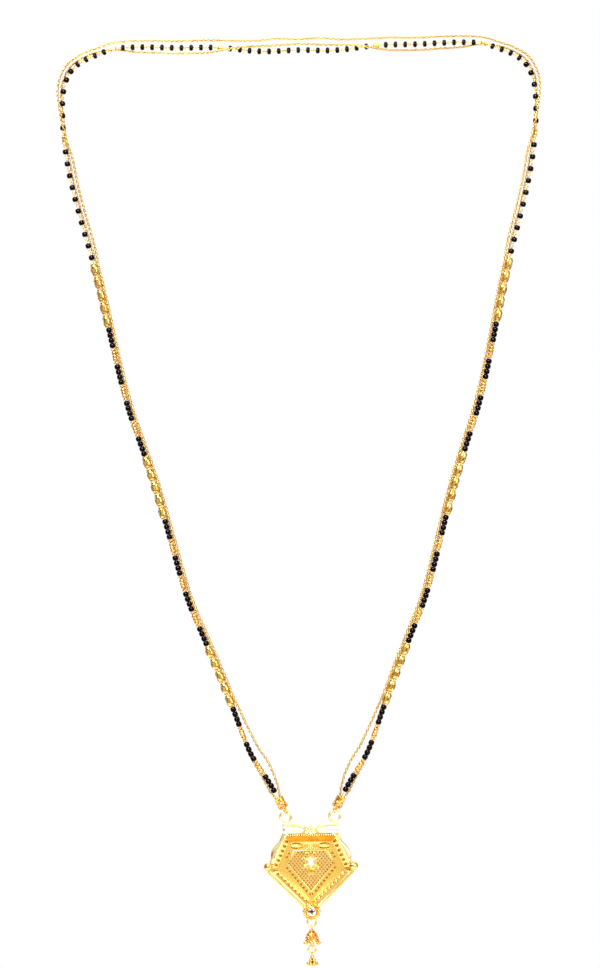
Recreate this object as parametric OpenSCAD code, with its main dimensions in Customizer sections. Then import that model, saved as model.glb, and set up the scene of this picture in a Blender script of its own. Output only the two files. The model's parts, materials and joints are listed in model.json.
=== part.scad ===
/* [Bead strand] */
// Diameter of a black bead
bead_d = 2.1; // [1.7:0.05:2.3]
// Length of a black bead along its wire
bead_l = 1.85; // [1.5:0.05:2.1]
// Space between two neighbours on the wire
bead_gap = 0.15; // [0.1:0.01:0.25]
// Beads in one black group
beads_per_group = 4; // [2:1:5]
// Diameter of the wire that carries the beads
wire_d = 0.5; // [0.3:0.05:0.6]
// Clearance between the wire and the bore of a bead
bore_gap = 0.18; // [0.15:0.01:0.2]
// Widest diameter of a cut gold ball
ball_d = 3.3; // [2.6:0.1:3.8]
// Length of a cut gold ball
ball_l = 4.8; // [4:0.05:5.2]
// Cut gold balls in one row
balls_per_row = 5; // [3:1:6]
// Length of the gold spacer between two black groups
spacer_l = 5.95; // [4.5:0.05:6.5]
// Diameter of the spacer's barrel
spacer_d = 2.1; // [1.6:0.1:2.5]
// Length of the gold tube that joins two stretches at the back
joiner_l = 2.9; // [2:0.1:3.2]
// Diameter of that gold tube
joiner_d = 1.9; // [1.5:0.1:2.2]
// Diameter of the plain gold bead near the back of the neck
back_ball_d = 2.5; // [2:0.1:2.8]
// Diameter of a flat black bead behind the neck
flat_bead_d = 2.4; // [2:0.05:2.5]
// Length of a flat black bead along its wire
flat_bead_l = 1.5; // [1.2:0.05:1.8]
// Spacing of the single black beads down the sides
single_pitch = 4.6; // [3.6:0.1:4.8]
// Bare wire between a cap and its first black bead
bare_l = 2.2; // [2:0.1:3]

/* [Chains] */
// Width of each fine chain
chain_d = 0.9; // [0.7:0.05:1.1]
// Clearance between a chain and the widest ball of the strand
chain_gap = 0.15; // [0.1:0.05:0.4]

/* [End caps] */
// Outside diameter of the cap's cup
cap_d = 4.1; // [3.4:0.1:4.4]
// Length of the cap's cup
cap_l = 4.8; // [3.6:0.1:5]
// Depth of the cup that takes the three strands
cup_depth = 3; // [2:0.1:3.2]
// Width of the hole in the cap's eye
eye_hole = 1.4; // [1.3:0.05:1.8]
// Wire diameter of the cap's eye
eye_wire = 0.6; // [0.4:0.05:0.8]

/* [Pendant rings] */
// Distance between the two rings on top of the pendant
ring_spacing = 18.6; // [16:0.1:19.6]
// Outside width of a top ring
ring_w = 4.8; // [4:0.1:5.2]
// Outside height of a top ring
ring_h = 5.1; // [4.6:0.1:6]
// Wire diameter of a top ring
ring_wire = 0.7; // [0.5:0.05:0.8]

/* [Pendant tray] */
// Width across the side corners
tray_w = 32.8; // [31:0.2:36]
// Width across the top corners of the well
tray_top_w = 20.8; // [20:0.2:23]
// Height from the lower tip to the top edge of the well
tray_h = 31.9; // [31:0.1:34]
// Height of the short upright edge at each side corner
corner_h = 2.6; // [1.6:0.1:3.2]
// Thickness from the front of the rim to the back
tray_t = 3; // [2.6:0.1:3.6]
// Depth of the well below the rim
well_depth = 1.9; // [1.2:0.1:2.1]
// Width of the flat front of the rim
rim_w = 0.8; // [0.5:0.1:1]
// Width of the fluted slope, seen from the front
slope_w = 2.9; // [2:0.1:3.1]
// Thickness of the floor
floor_t = 0.4; // [0.3:0.05:0.6]
// Spacing of the flutes in the slope
flute_pitch = 1.85; // [1.6:0.05:2.4]
// Width of a flute
flute_d = 1.15; // [0.8:0.05:1.3]
// Diameter of the ball on each side corner
knob_d = 3.2; // [2.6:0.1:3.8]
// Length of a side of the small triangular recesses in the floor
peg_hole = 0.9; // [0.6:0.05:1]
// Depth of those recesses and of the lens-shaped ones
recess_depth = 0.6; // [0.4:0.05:0.8]
// Height of the two lobes under the rings above the well's top edge
horn_rise = 3.8; // [3.4:0.1:4.6]
// Dip of the top edge between the two lobes
top_dip = 2.6; // [2:0.1:3]
// Width of that dip
dip_w = 16; // [12:0.5:17]

/* [Pendant lattice] */
// Width of the lattice at its widest
lattice_w = 18.2; // [16:0.1:19]
// Width of the lattice along its top edge
lattice_top_w = 12.4; // [11:0.1:13]
// Height of the lattice from tip to top edge
lattice_h = 15.8; // [15:0.1:16.4]
// Height of the widest place above the lattice's tip
lattice_corner_h = 11; // [10:0.1:12]
// Distance from the tray's tip up to the lattice's tip
lattice_rise = 9.2; // [9:0.1:9.8]
// Width of one mesh of the lattice
mesh_w = 1.62; // [1.6:0.02:2]
// Width of the strips between the meshes
strip_w = 0.36; // [0.24:0.02:0.5]
// Thickness of the lattice sheet
lattice_t = 0.5; // [0.3:0.05:0.6]
// Depth of a mesh in the sheet
mesh_depth = 0.3; // [0.2:0.05:0.35]
// Width of the star cut through the middle
star_w = 3.5; // [2.8:0.1:4]
// Length of a petal round the star
petal_l = 2.2; // [1.6:0.1:2.4]

/* [Pendant leaves] */
// Height of a polished top leaf at its outer end
top_leaf_h = 4.2; // [3.6:0.1:4.6]
// Height of the crown of a leaf above the rim
leaf_crown = 1.1; // [0.6:0.1:1.4]
// Width of a polished side leaf
side_leaf_w = 2.9; // [2.4:0.1:3.2]

/* [Boss and drop] */
// Diameter of the scalloped collar
collar_d = 7; // [6:0.1:7.6]
// Thickness of the collar
collar_t = 1.6; // [1.2:0.1:2]
// Scallops round the collar
scallops = 12; // [8:1:14]
// Diameter of the cut dome in the collar
dome_d = 4; // [3:0.1:4.4]
// Height of the cut dome
dome_h = 1.9; // [1.4:0.1:2.2]
// Wire diameter of the small eyes of the drop
small_eye_wire = 0.5; // [0.4:0.05:0.55]
// Width of the hole in the small eyes
small_eye_hole = 0.9; // [0.85:0.05:1.2]
// Wire diameter of the two linking rings
link_wire = 0.6; // [0.4:0.05:0.6]
// Outside width of the upper linking ring
link_w = 3.4; // [3:0.1:3.8]
// Outside height of the upper linking ring
link_h = 4.2; // [3.8:0.1:4.8]
// Outside width of the lower linking ring
low_link_w = 3; // [2.8:0.1:3.6]
// Outside height of the lower linking ring
low_link_h = 3.6; // [3.4:0.1:4.2]
// Height of the bell without its feet
bell_h = 5.2; // [4.4:0.1:6]
// Diameter of the bell's mouth
bell_d = 5; // [4.4:0.1:5.6]
// Diameter of a ball foot of the bell
foot_d = 1.7; // [1.2:0.1:2]
// Diameter of a ball of the lowest cluster
grape_d = 1.9; // [1.4:0.1:2.2]

/* [Hidden] */

// Clearance between two links that hang in one another
link_gap = 0.1;
// Clearance under a top ring's wire, where the tilted eye meets its bend
tilt_gap = 0.38;
// Clearance between pieces that seat in one another
seat_gap = 0.1;
// Overlap of two pieces that are soldered
solder = 0.3;
gold = "gold";
smooth_fn = 32;

// Height of the line on which both top rings hang
hang_z = -288;

// Left half of the bead strand from the first black group up to the back of the neck: x, z
strand_points = [
    [-15, -277.7], [-22.5, -265.5], [-27.5, -252], [-33.5, -236], [-39.5, -221.5], [-45, -208],
    [-49, -194], [-52.5, -180.5], [-57, -164], [-62, -148.5], [-66.5, -135], [-70, -121],
    [-73, -107], [-76.5, -90], [-79.5, -77.5], [-84.5, -59], [-87.5, -46], [-89.5, -32.5],
    [-90, -20], [-89, -11], [-86, -5], [-81, -1.5], [-76, 0.5], [-70, 2.5], [-60, 3],
    [-45, 2.5], [-34, 2.5], [-26, 2], [-18.5, 1], [-11, 0.6], [-4, 0.9], [0, 1]];

// Way of the chain that runs inside the loop: share of the half length, shares of chain_side
// towards the middle of the loop and towards the back
inner_chain_way = [
    [0.022, 0.8, -0.3], [0.036, 1.42, -0.36], [0.052, 1.86, -0.36], [0.078, 1.5, -0.44],
    [0.12, 0.82, -0.62], [0.572, 0.78, -0.64], [0.59, 1.07, -0.44], [0.68, 1.07, -0.53],
    [0.715, 0, -0.84], [0.75, -1, -0.44], [0.772, -1.16, -0.36], [0.81, -0.98, -0.36],
    [0.88, -1.1, -0.27], [0.93, -1.25, -0.22], [0.963, -1.86, -0.22], [0.982, -2.2, -0.18],
    [0.995, -1.75, -0.18], [1, -1.75, -0.18]];

// Way of the chain that runs behind the beads, in the same columns
outer_chain_way = [
    [0.022, -0.68, 0.5], [0.036, -0.55, 0.66], [0.057, -0.3, 0.82], [0.104, 0.2, 1],
    [0.15, 0.44, 0.92], [0.572, 0.44, 0.92], [0.68, 0.44, 0.76], [0.725, 0.1, 0.86],
    [0.75, -0.44, 0.8], [0.772, -0.58, 0.78], [0.798, -0.54, 0.78], [0.818, 0, 0.9],
    [0.84, 0.84, 0.45], [0.875, 0.98, 0], [0.907, 0.98, -0.36], [0.922, 0.62, -0.64],
    [0.935, 0, -0.88], [0.948, -0.62, -0.66], [0.963, -0.89, -0.36], [0.99, -0.98, -0.36],
    [1, -0.98, -0.36]];

// Order of the elements behind the neck, from the last cut ball to the middle: the fine part
// down the side first, then the closer part along the back
side_run = "bbbbbbbbbbjbbbbb";
back_run = "bbbbbjbbbbbbbbbbgbbbbbbb";

function unit(v) = v / norm(v);

// Length of a path up to each of its points
function run_lengths(p) = [
    for (i = 0, t = 0; i < len(p); t = t + (i + 1 < len(p) ? norm(p[i + 1] - p[i]) : 0), i = i + 1)
        t];

// Direction of a path at a point, level where it crosses the middle
function way_at(p, t, i) =
    i == 0 ? unit(p[1] - p[0])
    : i == len(p) - 1 ? [1, 0]
    : (p[i + 1] - p[i - 1]) / (t[i + 1] - t[i - 1]);

function blend_point(a, b, da, db, h, u) =
    a * (2 * u ^ 3 - 3 * u ^ 2 + 1) + b * (3 * u ^ 2 - 2 * u ^ 3)
    + da * h * (u ^ 3 - 2 * u ^ 2 + u) + db * h * (u ^ 3 - u ^ 2);

// Smooth curve through a list of points, with n steps in each span
function smooth_path(p, n) =
    let (t = run_lengths(p))
    concat([
        for (i = [0:len(p) - 2], k = [0:n - 1])
            blend_point(p[i], p[i + 1], way_at(p, t, i), way_at(p, t, i + 1), t[i + 1] - t[i], k / n)],
        [p[len(p) - 1]]);

ring_x = ring_spacing / 2;
hang = [-ring_x, hang_z];
strand_way = unit(strand_points[0] - hang);
eye_r = (eye_hole + eye_wire) / 2;
// Distances from the hanging point along the strand
eye_at = eye_hole / 2 - ring_wire / 2 - tilt_gap;
neck_at = eye_at + eye_r;
cup_at = neck_at + cap_l - cup_depth;
mouth_at = neck_at + cap_l;

strand_curve = smooth_path(concat([hang, hang + strand_way * cup_at, hang + strand_way * mouth_at],
    strand_points), 10);
curve_run = run_lengths(strand_curve);
half_l = curve_run[len(curve_run) - 1];
curve_x = [for (i = [0:len(curve_run) - 1]) [curve_run[i], strand_curve[i].x]];
curve_z = [for (i = [0:len(curve_run) - 1]) [curve_run[i], strand_curve[i].y]];

// Stations of the swept wire and chains: close at the cap and round the shoulder bend
cap_share = 0.0155;
shoulder = [0.735, 0.825];
low_steps = 8;
side_steps = 36;
bend_steps = 16;
back_steps = 15;
function steps(a, b, n) = [for (i = [1:n]) a + (b - a) * i / n];
stations = concat([cup_at + seat_gap, (cup_at + mouth_at) / 2, mouth_at + seat_gap],
    half_l * steps(cap_share, 0.07, low_steps),
    half_l * steps(0.07, shoulder[0], side_steps),
    half_l * steps(shoulder[0], shoulder[1], bend_steps),
    half_l * steps(shoulder[1], 1, back_steps));
strand_x = [for (s = stations) [s, lookup(s, curve_x)]];
strand_z = [for (s = stations) [s, lookup(s, curve_z)]];
function strand_at(s) = [lookup(s, strand_x), 0, lookup(s, strand_z)];

// Unit vector across the strand, towards the middle of the loop
function inward_at(s) =
    let (a = [lookup(s - 1, curve_x), lookup(s - 1, curve_z)],
        b = [lookup(s + 1, curve_x), lookup(s + 1, curve_z)],
        d = unit(b - a))
    [d.y, 0, -d.x];

// Spacings along the wire
bead_pitch = bead_l + bead_gap;
ball_pitch = ball_l + bead_gap + 0.06;
group_l = beads_per_group * bead_pitch;
row_l = balls_per_row * ball_pitch;
spacer_pitch = spacer_l + 2 * bead_gap + 0.05;
strand_start = mouth_at + bare_l;
// Black groups with spacers between them, and a row of balls after each set: 3, 4 and 4 groups
sets = [3, 4, 4];
function set_l(n) = n * group_l + (n - 1) * spacer_pitch + row_l;
function set_start(k) = strand_start + (k == 0 ? 0 : set_l(sets[0]) + (k == 1 ? 0 : set_l(sets[1])));
group_starts = [for (k = [0:2], g = [0:sets[k] - 1]) set_start(k) + g * (group_l + spacer_pitch)];
spacer_centres = [
    for (k = [0:2], g = [0:sets[k] - 2])
        set_start(k) + (g + 1) * group_l + g * spacer_pitch + spacer_pitch / 2];
row_starts = [for (k = [0:2]) set_start(k) + set_l(sets[k]) - row_l];
side_start = set_start(2) + set_l(sets[2]);
back_start = side_start + (len(side_run) - 0.5) * single_pitch;
back_pitch = (half_l - back_start) / (len(back_run) + 1);
function run_at(i) =
    i < len(side_run) ? side_start + (i + 0.5) * single_pitch
    : back_start + (i - len(side_run) + 1) * back_pitch;
full_run = str(side_run, back_run);

bore_d = wire_d + 2 * bore_gap;
chain_side = ball_d / 2 + chain_d / 2 + chain_gap;
cup_side = (chain_d + wire_d) / 2 + seat_gap;
cup_d = 2 * (cup_side + chain_d / 2 + seat_gap);

// Route of a chain: in the cup beside the wire, then along its way
function chain_rows(way, side) = concat(
    [[0, side * cup_side, 0], [mouth_at + seat_gap, side * cup_side, 0]],
    [for (r = way) [r[0] * half_l, r[1] * chain_side, r[2] * chain_side]]);
function chain_path(way, side) =
    let (rows = chain_rows(way, side),
        across = [for (r = rows) [r[0], r[1]]],
        back = [for (r = rows) [r[0], r[2]]])
    [for (s = stations)
        [lookup(s, curve_x), 0, lookup(s, curve_z)] + inward_at(s) * lookup(s, across)
            + [0, lookup(s, back), 0]];

// Pendant heights, in the pendant's own frame with the boss at the origin
tip_z = -2;
corner_z = tip_z + tray_w / 2;
well_top = tip_z + tray_h;
horn_z = well_top + horn_rise;
horn_w = ring_x + 1.2;
function horn_edge(x) = horn_z - top_dip * (1 - min(1, 2 * abs(x) / dip_w)) ^ 2;
ring_z = horn_edge(ring_x) - solder + ring_h / 2;
ring_top = ring_z + ring_h / 2 - ring_wire / 2;
boss_z = hang_z - ring_top;

// Pendant depths, the front towards -Y
back_y = tray_t / 2 - 0.1;
front_y = back_y - tray_t;
floor_front = front_y + well_depth;
floor_back = floor_front + floor_t;
lattice_front = floor_back + seat_gap;
lattice_back = lattice_front + lattice_t;

// Corners of the well, all round from the lower tip
well_points = [[0, tip_z], [tray_w / 2, corner_z], [tray_w / 2, corner_z + corner_h],
    [tray_top_w / 2, well_top], [-tray_top_w / 2, well_top], [-tray_w / 2, corner_z + corner_h],
    [-tray_w / 2, corner_z]];

lattice_tip = tip_z + lattice_rise;
lattice_points = [[0, lattice_tip], [lattice_w / 2, lattice_tip + lattice_corner_h],
    [lattice_top_w / 2, lattice_tip + lattice_h], [-lattice_top_w / 2, lattice_tip + lattice_h],
    [-lattice_w / 2, lattice_tip + lattice_corner_h]];
star_z = lattice_tip + 0.71 * lattice_h;

// Edge i of a polygon that runs anticlockwise, and its inward normal
function edge_dir(p, i) = unit(p[(i + 1) % len(p)] - p[i]);
function edge_in(p, i) = let (d = edge_dir(p, i)) [-d.y, d.x];

// Polygon whose edges all lie a distance further in
function inset(p, by) = [
    for (i = [0:len(p) - 1])
        let (h = (i + len(p) - 1) % len(p), n = edge_in(p, h), m = edge_in(p, i))
        p[i] + by * (n + m) / (1 + n * m)];

// Least distance of a point from the edges of a polygon, positive inside
function depth_in(p, q) = min([for (i = [0:len(p) - 1]) (q - p[i]) * edge_in(p, i)]);

// The cut that makes the well starts this share of its depth in front of the rim
well_over = 0.2;
mouth_points = inset(well_points, rim_w - well_over * slope_w);
floor_points = inset(well_points, rim_w + slope_w);

// Solid swept along a path of points that ends level, in the middle of the necklace
module sweep(path, d, sides = 8) {
    last = len(path) - 1;
    rings = [
        for (i = [0:last])
            let (t = i == last ? [1, 0, 0] : unit(path[i + 1] - path[max(i - 1, 0)]),
                a = unit(cross(t, [0, 1, 0])), b = cross(a, t))
            for (k = [0:sides - 1])
                path[i] + d / 2 * (cos(360 * k / sides) * a + sin(360 * k / sides) * b)];
    walls = [
        for (i = [0:last - 1], k = [0:sides - 1])
            let (n = (k + 1) % sides)
            [i * sides + k, i * sides + n, (i + 1) * sides + n, (i + 1) * sides + k]];
    start = [for (k = [0:sides - 1]) sides - 1 - k];
    end = [for (k = [0:sides - 1]) last * sides + k];
    polyhedron(concat(rings), concat([start], walls, [end]), convexity = 10);
}

// Places a piece on the strand with its Z axis along the wire
module on_strand(s, l) {
    low = strand_at(s - l / 2);
    high = strand_at(s + l / 2);
    translate((low + high) / 2) rotate([0, atan2(high.x - low.x, high.z - low.z), 0]) children();
}

module bore(l) cylinder(d = bore_d, h = l + 1, center = true, $fn = smooth_fn);

module bead(d = bead_d, l = bead_l) {
    difference() {
        intersection() {
            sphere(d = d, $fn = smooth_fn);
            cylinder(d = d + 1, h = l, center = true, $fn = smooth_fn);
        }
        bore(l);
    }
}

// Cut gold ball: eight sides, a flat belt and two sloped rows of facets at each end
module cut_ball() {
    rotate_extrude($fn = 8)
        polygon([[bore_d / 2, -ball_l / 2], [0.34 * ball_d, -ball_l / 2],
            [0.46 * ball_d, -0.3 * ball_l], [0.5 * ball_d, -0.09 * ball_l],
            [0.5 * ball_d, 0.09 * ball_l], [0.46 * ball_d, 0.3 * ball_l],
            [0.34 * ball_d, ball_l / 2], [bore_d / 2, ball_l / 2]]);
}

// Spacer: a barrel between two small rings
module spacer() {
    rotate_extrude($fn = smooth_fn)
        polygon([[bore_d / 2, -spacer_l / 2], [0.38 * spacer_d, -spacer_l / 2],
            [0.44 * spacer_d, -0.45 * spacer_l], [0.44 * spacer_d, -0.39 * spacer_l],
            [0.3 * spacer_d, -0.34 * spacer_l], [0.44 * spacer_d, -0.24 * spacer_l],
            [0.5 * spacer_d, -0.1 * spacer_l], [0.5 * spacer_d, 0.1 * spacer_l],
            [0.44 * spacer_d, 0.24 * spacer_l], [0.3 * spacer_d, 0.34 * spacer_l],
            [0.44 * spacer_d, 0.39 * spacer_l], [0.44 * spacer_d, 0.45 * spacer_l],
            [0.38 * spacer_d, spacer_l / 2], [bore_d / 2, spacer_l / 2]]);
}

module joiner() {
    rotate_extrude($fn = smooth_fn)
        polygon([[bore_d / 2, -joiner_l / 2], [joiner_d / 2, -joiner_l / 2],
            [joiner_d / 2, -0.34 * joiner_l], [0.4 * joiner_d, -0.28 * joiner_l],
            [0.4 * joiner_d, 0.28 * joiner_l], [joiner_d / 2, 0.34 * joiner_l],
            [joiner_d / 2, joiner_l / 2], [bore_d / 2, joiner_l / 2]]);
}

module wire_left() {
    color(gold) sweep([for (s = stations) strand_at(min(s, half_l - link_gap / 2))], wire_d);
}

module black_beads_left() {
    color("black")
        for (start = group_starts, k = [0:beads_per_group - 1])
            on_strand(start + (k + 0.5) * bead_pitch, bead_l) bead();
}

module gold_balls_left() {
    color(gold)
        for (start = row_starts, k = [0:balls_per_row - 1])
            on_strand(start + (k + 0.5) * ball_pitch, ball_l) cut_ball();
}

module spacers_left() {
    color(gold) for (s = spacer_centres) on_strand(s, spacer_l) spacer();
}

module back_beads_left() {
    color("black")
        for (i = [0:len(full_run) - 1])
            if (full_run[i] == "b")
                if (i < len(side_run)) on_strand(run_at(i), bead_l) bead();
                else on_strand(run_at(i), flat_bead_l) bead(flat_bead_d, flat_bead_l);
}

module joiners_left() {
    color(gold)
        for (i = [0:len(full_run) - 1]) {
            if (full_run[i] == "j") on_strand(run_at(i), joiner_l) joiner();
            if (full_run[i] == "g")
                on_strand(run_at(i), back_ball_d) bead(back_ball_d, 0.9 * back_ball_d);
        }
}

module centre_bead() {
    color("black") translate([0, 0, strand_points[len(strand_points) - 1].y])
        rotate([0, 90, 0]) bead(flat_bead_d, flat_bead_l);
}

// Ends a chain just short of the middle, where its other half meets it
function halved(path) = [for (p = path) [min(p.x, -link_gap / 2), p.y, p.z]];

module inner_chain_left() {
    color(gold) sweep(halved(chain_path(inner_chain_way, 1)), chain_d);
}

module outer_chain_left() {
    color(gold) sweep(halved(chain_path(outer_chain_way, -1)), chain_d);
}

// Ring of round wire about the Z axis
module wire_ring(r, wire)
    rotate_extrude($fn = smooth_fn) translate([r, 0]) circle(d = wire, $fn = smooth_fn);

// Upright ring of round wire that faces the front, with straight sides where it is taller than wide
module oval_ring(w, h, wire) {
    r = (w - wire) / 2;
    straight = h - w;
    rotate([90, 0, 0]) {
        for (side = [0, 1])
            mirror([0, side, 0]) translate([0, straight / 2, 0])
                rotate_extrude(angle = 180, $fn = smooth_fn)
                    translate([r, 0]) circle(d = wire, $fn = smooth_fn);
        for (side = [-1, 1])
            translate([side * r, 0, 0]) rotate([90, 0, 0])
                cylinder(d = wire, h = straight, center = true, $fn = smooth_fn);
    }
}

// End cap: a cup for the three strands, a waist and the eye that holds the pendant's ring
module end_cap_left() {
    cap_r = cap_d / 2;
    waist = eye_wire * 0.9;
    foot = cap_l - cup_depth;
    color(gold)
        translate([hang.x, 0, hang.y]) rotate([0, atan2(strand_way.x, strand_way.y), 0]) {
            translate([0, 0, eye_at]) rotate([0, 90, 0]) wire_ring(eye_r, eye_wire);
            translate([0, 0, neck_at]) difference() {
                rotate_extrude($fn = smooth_fn)
                    polygon([[0, -0.1], [waist, -0.1], [waist, 0.25 * foot], [0.8 * cap_r, 0.75 * foot],
                        [cap_r, foot], [0.9 * cap_r, foot + 0.12 * cup_depth],
                        [cap_r, foot + 0.35 * cup_depth], [cap_r, cap_l - 0.35],
                        [0.94 * cap_r, cap_l - 0.25], [cap_r, cap_l - 0.15], [cap_r, cap_l], [0, cap_l]]);
                translate([0, 0, foot]) cylinder(d = cup_d, h = cup_depth + 1, $fn = smooth_fn);
            }
        }
}

// Flat shape in the pendant's front plane, as thick as from y0 to y1
module plate(y0, y1) translate([0, y1, 0]) rotate([90, 0, 0]) linear_extrude(y1 - y0) children();

// Solid between a polygon at y0 and another with the same corners at y1
module between(front, y0, back, y1) {
    n = len(front);
    polyhedron(
        concat([for (p = front) [p.x, y0, p.y]], [for (p = back) [p.x, y1, p.y]]),
        concat([[for (i = [0:n - 1]) n - 1 - i]], [[for (i = [0:n - 1]) n + i]],
            [for (i = [0:n - 1]) [i, (i + 1) % n, n + (i + 1) % n, n + i]]));
}

// Outline of the tray behind the leaves, with a raised lobe under each top ring
horn_steps = 8;
module tray_outline() {
    polygon(concat(
        [for (i = [0:3]) well_points[i]], [[horn_w, horn_z - 0.5]],
        [for (i = [0:2 * horn_steps]) let (x = (ring_x + 0.7) * (1 - i / horn_steps)) [x, horn_edge(x)]],
        [[-horn_w, horn_z - 0.5]], [for (i = [4:6]) well_points[i]]));
}

// Points along edge i of a polygon, spaced by the pitch and kept off both corners
function along_edge(p, i, pitch, keep_a, keep_b) =
    let (a = p[i], b = p[(i + 1) % len(p)], l = norm(b - a) - keep_a - keep_b, n = floor(l / pitch))
    [for (k = [0:n]) a + edge_dir(p, i) * (keep_a + (l - n * pitch) / 2 + k * pitch)];

// The right-hand edges of the well with the room that the corner pieces take: V side and upper side
fluted_edges = [[0, 5.5, 2.6], [2, 2.2, 2.6]];

module flutes() {
    run = norm([slope_w, well_depth]);
    for (e = fluted_edges, p = along_edge(well_points, e[0], flute_pitch, e[1], e[2])) {
        n = edge_in(well_points, e[0]);
        start = p + n * rim_w;
        translate([start.x, front_y, start.y])
            rotate([0, atan2(n.x, n.y), 0]) rotate([-atan2(well_depth, slope_w), 0, 0])
                translate([0, 0, 0.1 * run])
                    cylinder(d = flute_d, h = 0.85 * run, $fn = 4);
    }
}

// Small triangular recesses in the floor along the two right-hand edges of the lattice
peg_out = 1.2;
module peg_recesses() {
    for (i = [0, 1], p = along_edge(lattice_points, i, flute_pitch, 0.5, 0.9)) {
        n = edge_in(lattice_points, i);
        plate(floor_front - 1, floor_front + recess_depth)
            translate(p - n * peg_out) rotate(atan2(n.y, n.x)) circle(r = peg_hole / sqrt(3), $fn = 3);
    }
}

// Lens-shaped recesses with a leaf left standing in each, above the lattice
lens_x = 5.2;
lens_l = 5;
lens_h = 2.4;
lens_rise = 1.5;
lens_leaf = 0.45;
module lens(l, h) {
    r = (l ^ 2 + h ^ 2) / (4 * h);
    intersection() {
        translate([0, r - h / 2]) circle(r = r, $fn = 64);
        translate([0, h / 2 - r]) circle(r = r, $fn = 64);
    }
}
module lens_recess() {
    translate([lens_x, lattice_tip + lattice_h + lens_rise]) difference() {
        lens(lens_l, lens_h);
        lens(lens_l + 0.4, lens_h * lens_leaf);
    }
}

// Polished leaf along the top edge, crowned towards the front
leaf_steps = 8;
leaf_out = ring_x + 0.6;
module top_leaf() {
    function top_edge(x) = horn_edge(x) - 0.25;
    function low_edge(x) = top_edge(x) - top_leaf_h * (0.55 + 0.45 * (x / leaf_out));
    crown_r = (top_leaf_h ^ 2 / 4 + leaf_crown ^ 2) / (2 * leaf_crown) + 0.6;
    intersection() {
        plate(front_y - leaf_crown, front_y + solder)
            polygon(concat(
                [for (i = [0:leaf_steps]) let (x = leaf_out * i / leaf_steps) [x, top_edge(x)]],
                [for (i = [leaf_steps:-1:0]) let (x = leaf_out * i / leaf_steps) [x, low_edge(x)]]));
        translate([leaf_out / 2, front_y - leaf_crown + crown_r, horn_edge(0.55 * leaf_out) - top_leaf_h / 2])
            rotate([0, 90 - 8, 0]) cylinder(r = crown_r, h = 2 * leaf_out, center = true, $fn = 96);
    }
}

// Polished crescent leaf along the upper side: its ends, from the well's top corner and the side corner
side_leaf_top = [-1.9, -0.7];
side_leaf_foot = [-2.5, 1.4];
module side_leaf() {
    from = [tray_top_w / 2, well_top] + side_leaf_top;
    to = [tray_w / 2, corner_z + corner_h] + side_leaf_foot;
    l = norm(to - from);
    crown_r = (side_leaf_w ^ 2 / 4 + leaf_crown ^ 2) / (2 * leaf_crown) + 0.5;
    turn = atan2(to.y - from.y, to.x - from.x);
    translate([from.x, 0, from.y]) rotate([0, -turn, 0]) intersection() {
        plate(front_y - leaf_crown, front_y + solder)
            polygon(concat([[0, -0.1]],
                [for (i = [0:leaf_steps]) let (u = i / leaf_steps)
                    [u * l, side_leaf_w * (0.3 + 0.7 * sin(180 * u ^ 1.7) ^ 0.8)]],
                [[l, -0.1]]));
        translate([l / 2, front_y - leaf_crown + crown_r, side_leaf_w * 0.4])
            rotate([0, 90, 0]) cylinder(r = crown_r, h = l + 2, center = true, $fn = 64);
    }
}

collar_back = front_y + 0.8;
collar_front = collar_back - collar_t;
dome_seat = collar_front + 0.9;
scallop_d = 0.19 * collar_d;
module collar() {
    plate(collar_front, collar_back) circle(d = collar_d - scallop_d, $fn = 48);
    for (k = [0:scallops - 1])
        rotate([0, 360 * k / scallops, 0]) translate([0, 0, (collar_d - scallop_d) / 2])
            translate([0, (collar_front + collar_back) / 2, 0])
                rotate([90, 0, 0]) cylinder(d = scallop_d, h = 0.8 * collar_t, center = true, $fn = 20);
}

small_eye_r = (small_eye_hole + small_eye_wire) / 2;
module small_eye(z) translate([0, 0, z]) rotate([0, 90, 0]) wire_ring(small_eye_r, small_eye_wire);

// Hanging distance between the wires of an eye and a ring that hang in one another
hang_gap = (small_eye_wire + link_wire) / 2 + link_gap;
tail_eye_z = tip_z - small_eye_r + 0.15;
link_top = tail_eye_z - small_eye_r + hang_gap;
link_z = link_top - (link_h - link_wire) / 2;
bell_eye_z = link_z - (link_h - link_wire) / 2 + hang_gap - small_eye_r;
bell_top = bell_eye_z - small_eye_r;
bell_low = bell_top - bell_h;
inner_eye_z = bell_low - 1;
low_link_z = inner_eye_z - small_eye_r + hang_gap - (low_link_h - link_wire) / 2;
cluster_eye_z = low_link_z - (low_link_h - link_wire) / 2 + hang_gap - small_eye_r;

// Tray with its rings, knobs, leaves and collar, all soldered together
module pendant_frame() {
    color(gold) translate([0, 0, boss_z]) difference() {
        union() {
            difference() {
                plate(front_y, back_y) tray_outline();
                between(mouth_points, front_y - well_over * well_depth, floor_points, floor_front);
                plate(floor_front - 0.5, back_y + 1) polygon(lattice_points);
                plate(floor_back, back_y + 1) polygon(inset(lattice_points, -solder - seat_gap));
                for (side = [0, 1]) mirror([side, 0, 0]) {
                    flutes();
                    peg_recesses();
                    plate(floor_front - 1, floor_front + recess_depth) lens_recess();
                }
            }
            for (side = [0, 1]) mirror([side, 0, 0]) {
                translate([ring_x, 0, ring_z]) oval_ring(ring_w, ring_h, ring_wire);
                translate([tray_w / 2 - 0.3, front_y + 0.6, corner_z + corner_h])
                    sphere(d = knob_d, $fn = smooth_fn);
                top_leaf();
                side_leaf();
            }
            collar();
            small_eye(tail_eye_z);
        }
        plate(collar_front - 1, dome_seat) circle(d = dome_d + 2 * seat_gap, $fn = 48);
    }
}

// Half height of a mesh, so that its strips run along the lattice's lower sides
mesh_h = mesh_w * lattice_corner_h / lattice_w;
star_keep = star_w / 2 + petal_l * 0.55;
module mesh_cut() {
    long = 1 - strip_w / (mesh_w * sin(atan2(mesh_h, mesh_w / 2)));
    polygon(long * [[mesh_w / 2, 0], [0, mesh_h], [-mesh_w / 2, 0], [0, -mesh_h]]);
}

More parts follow.
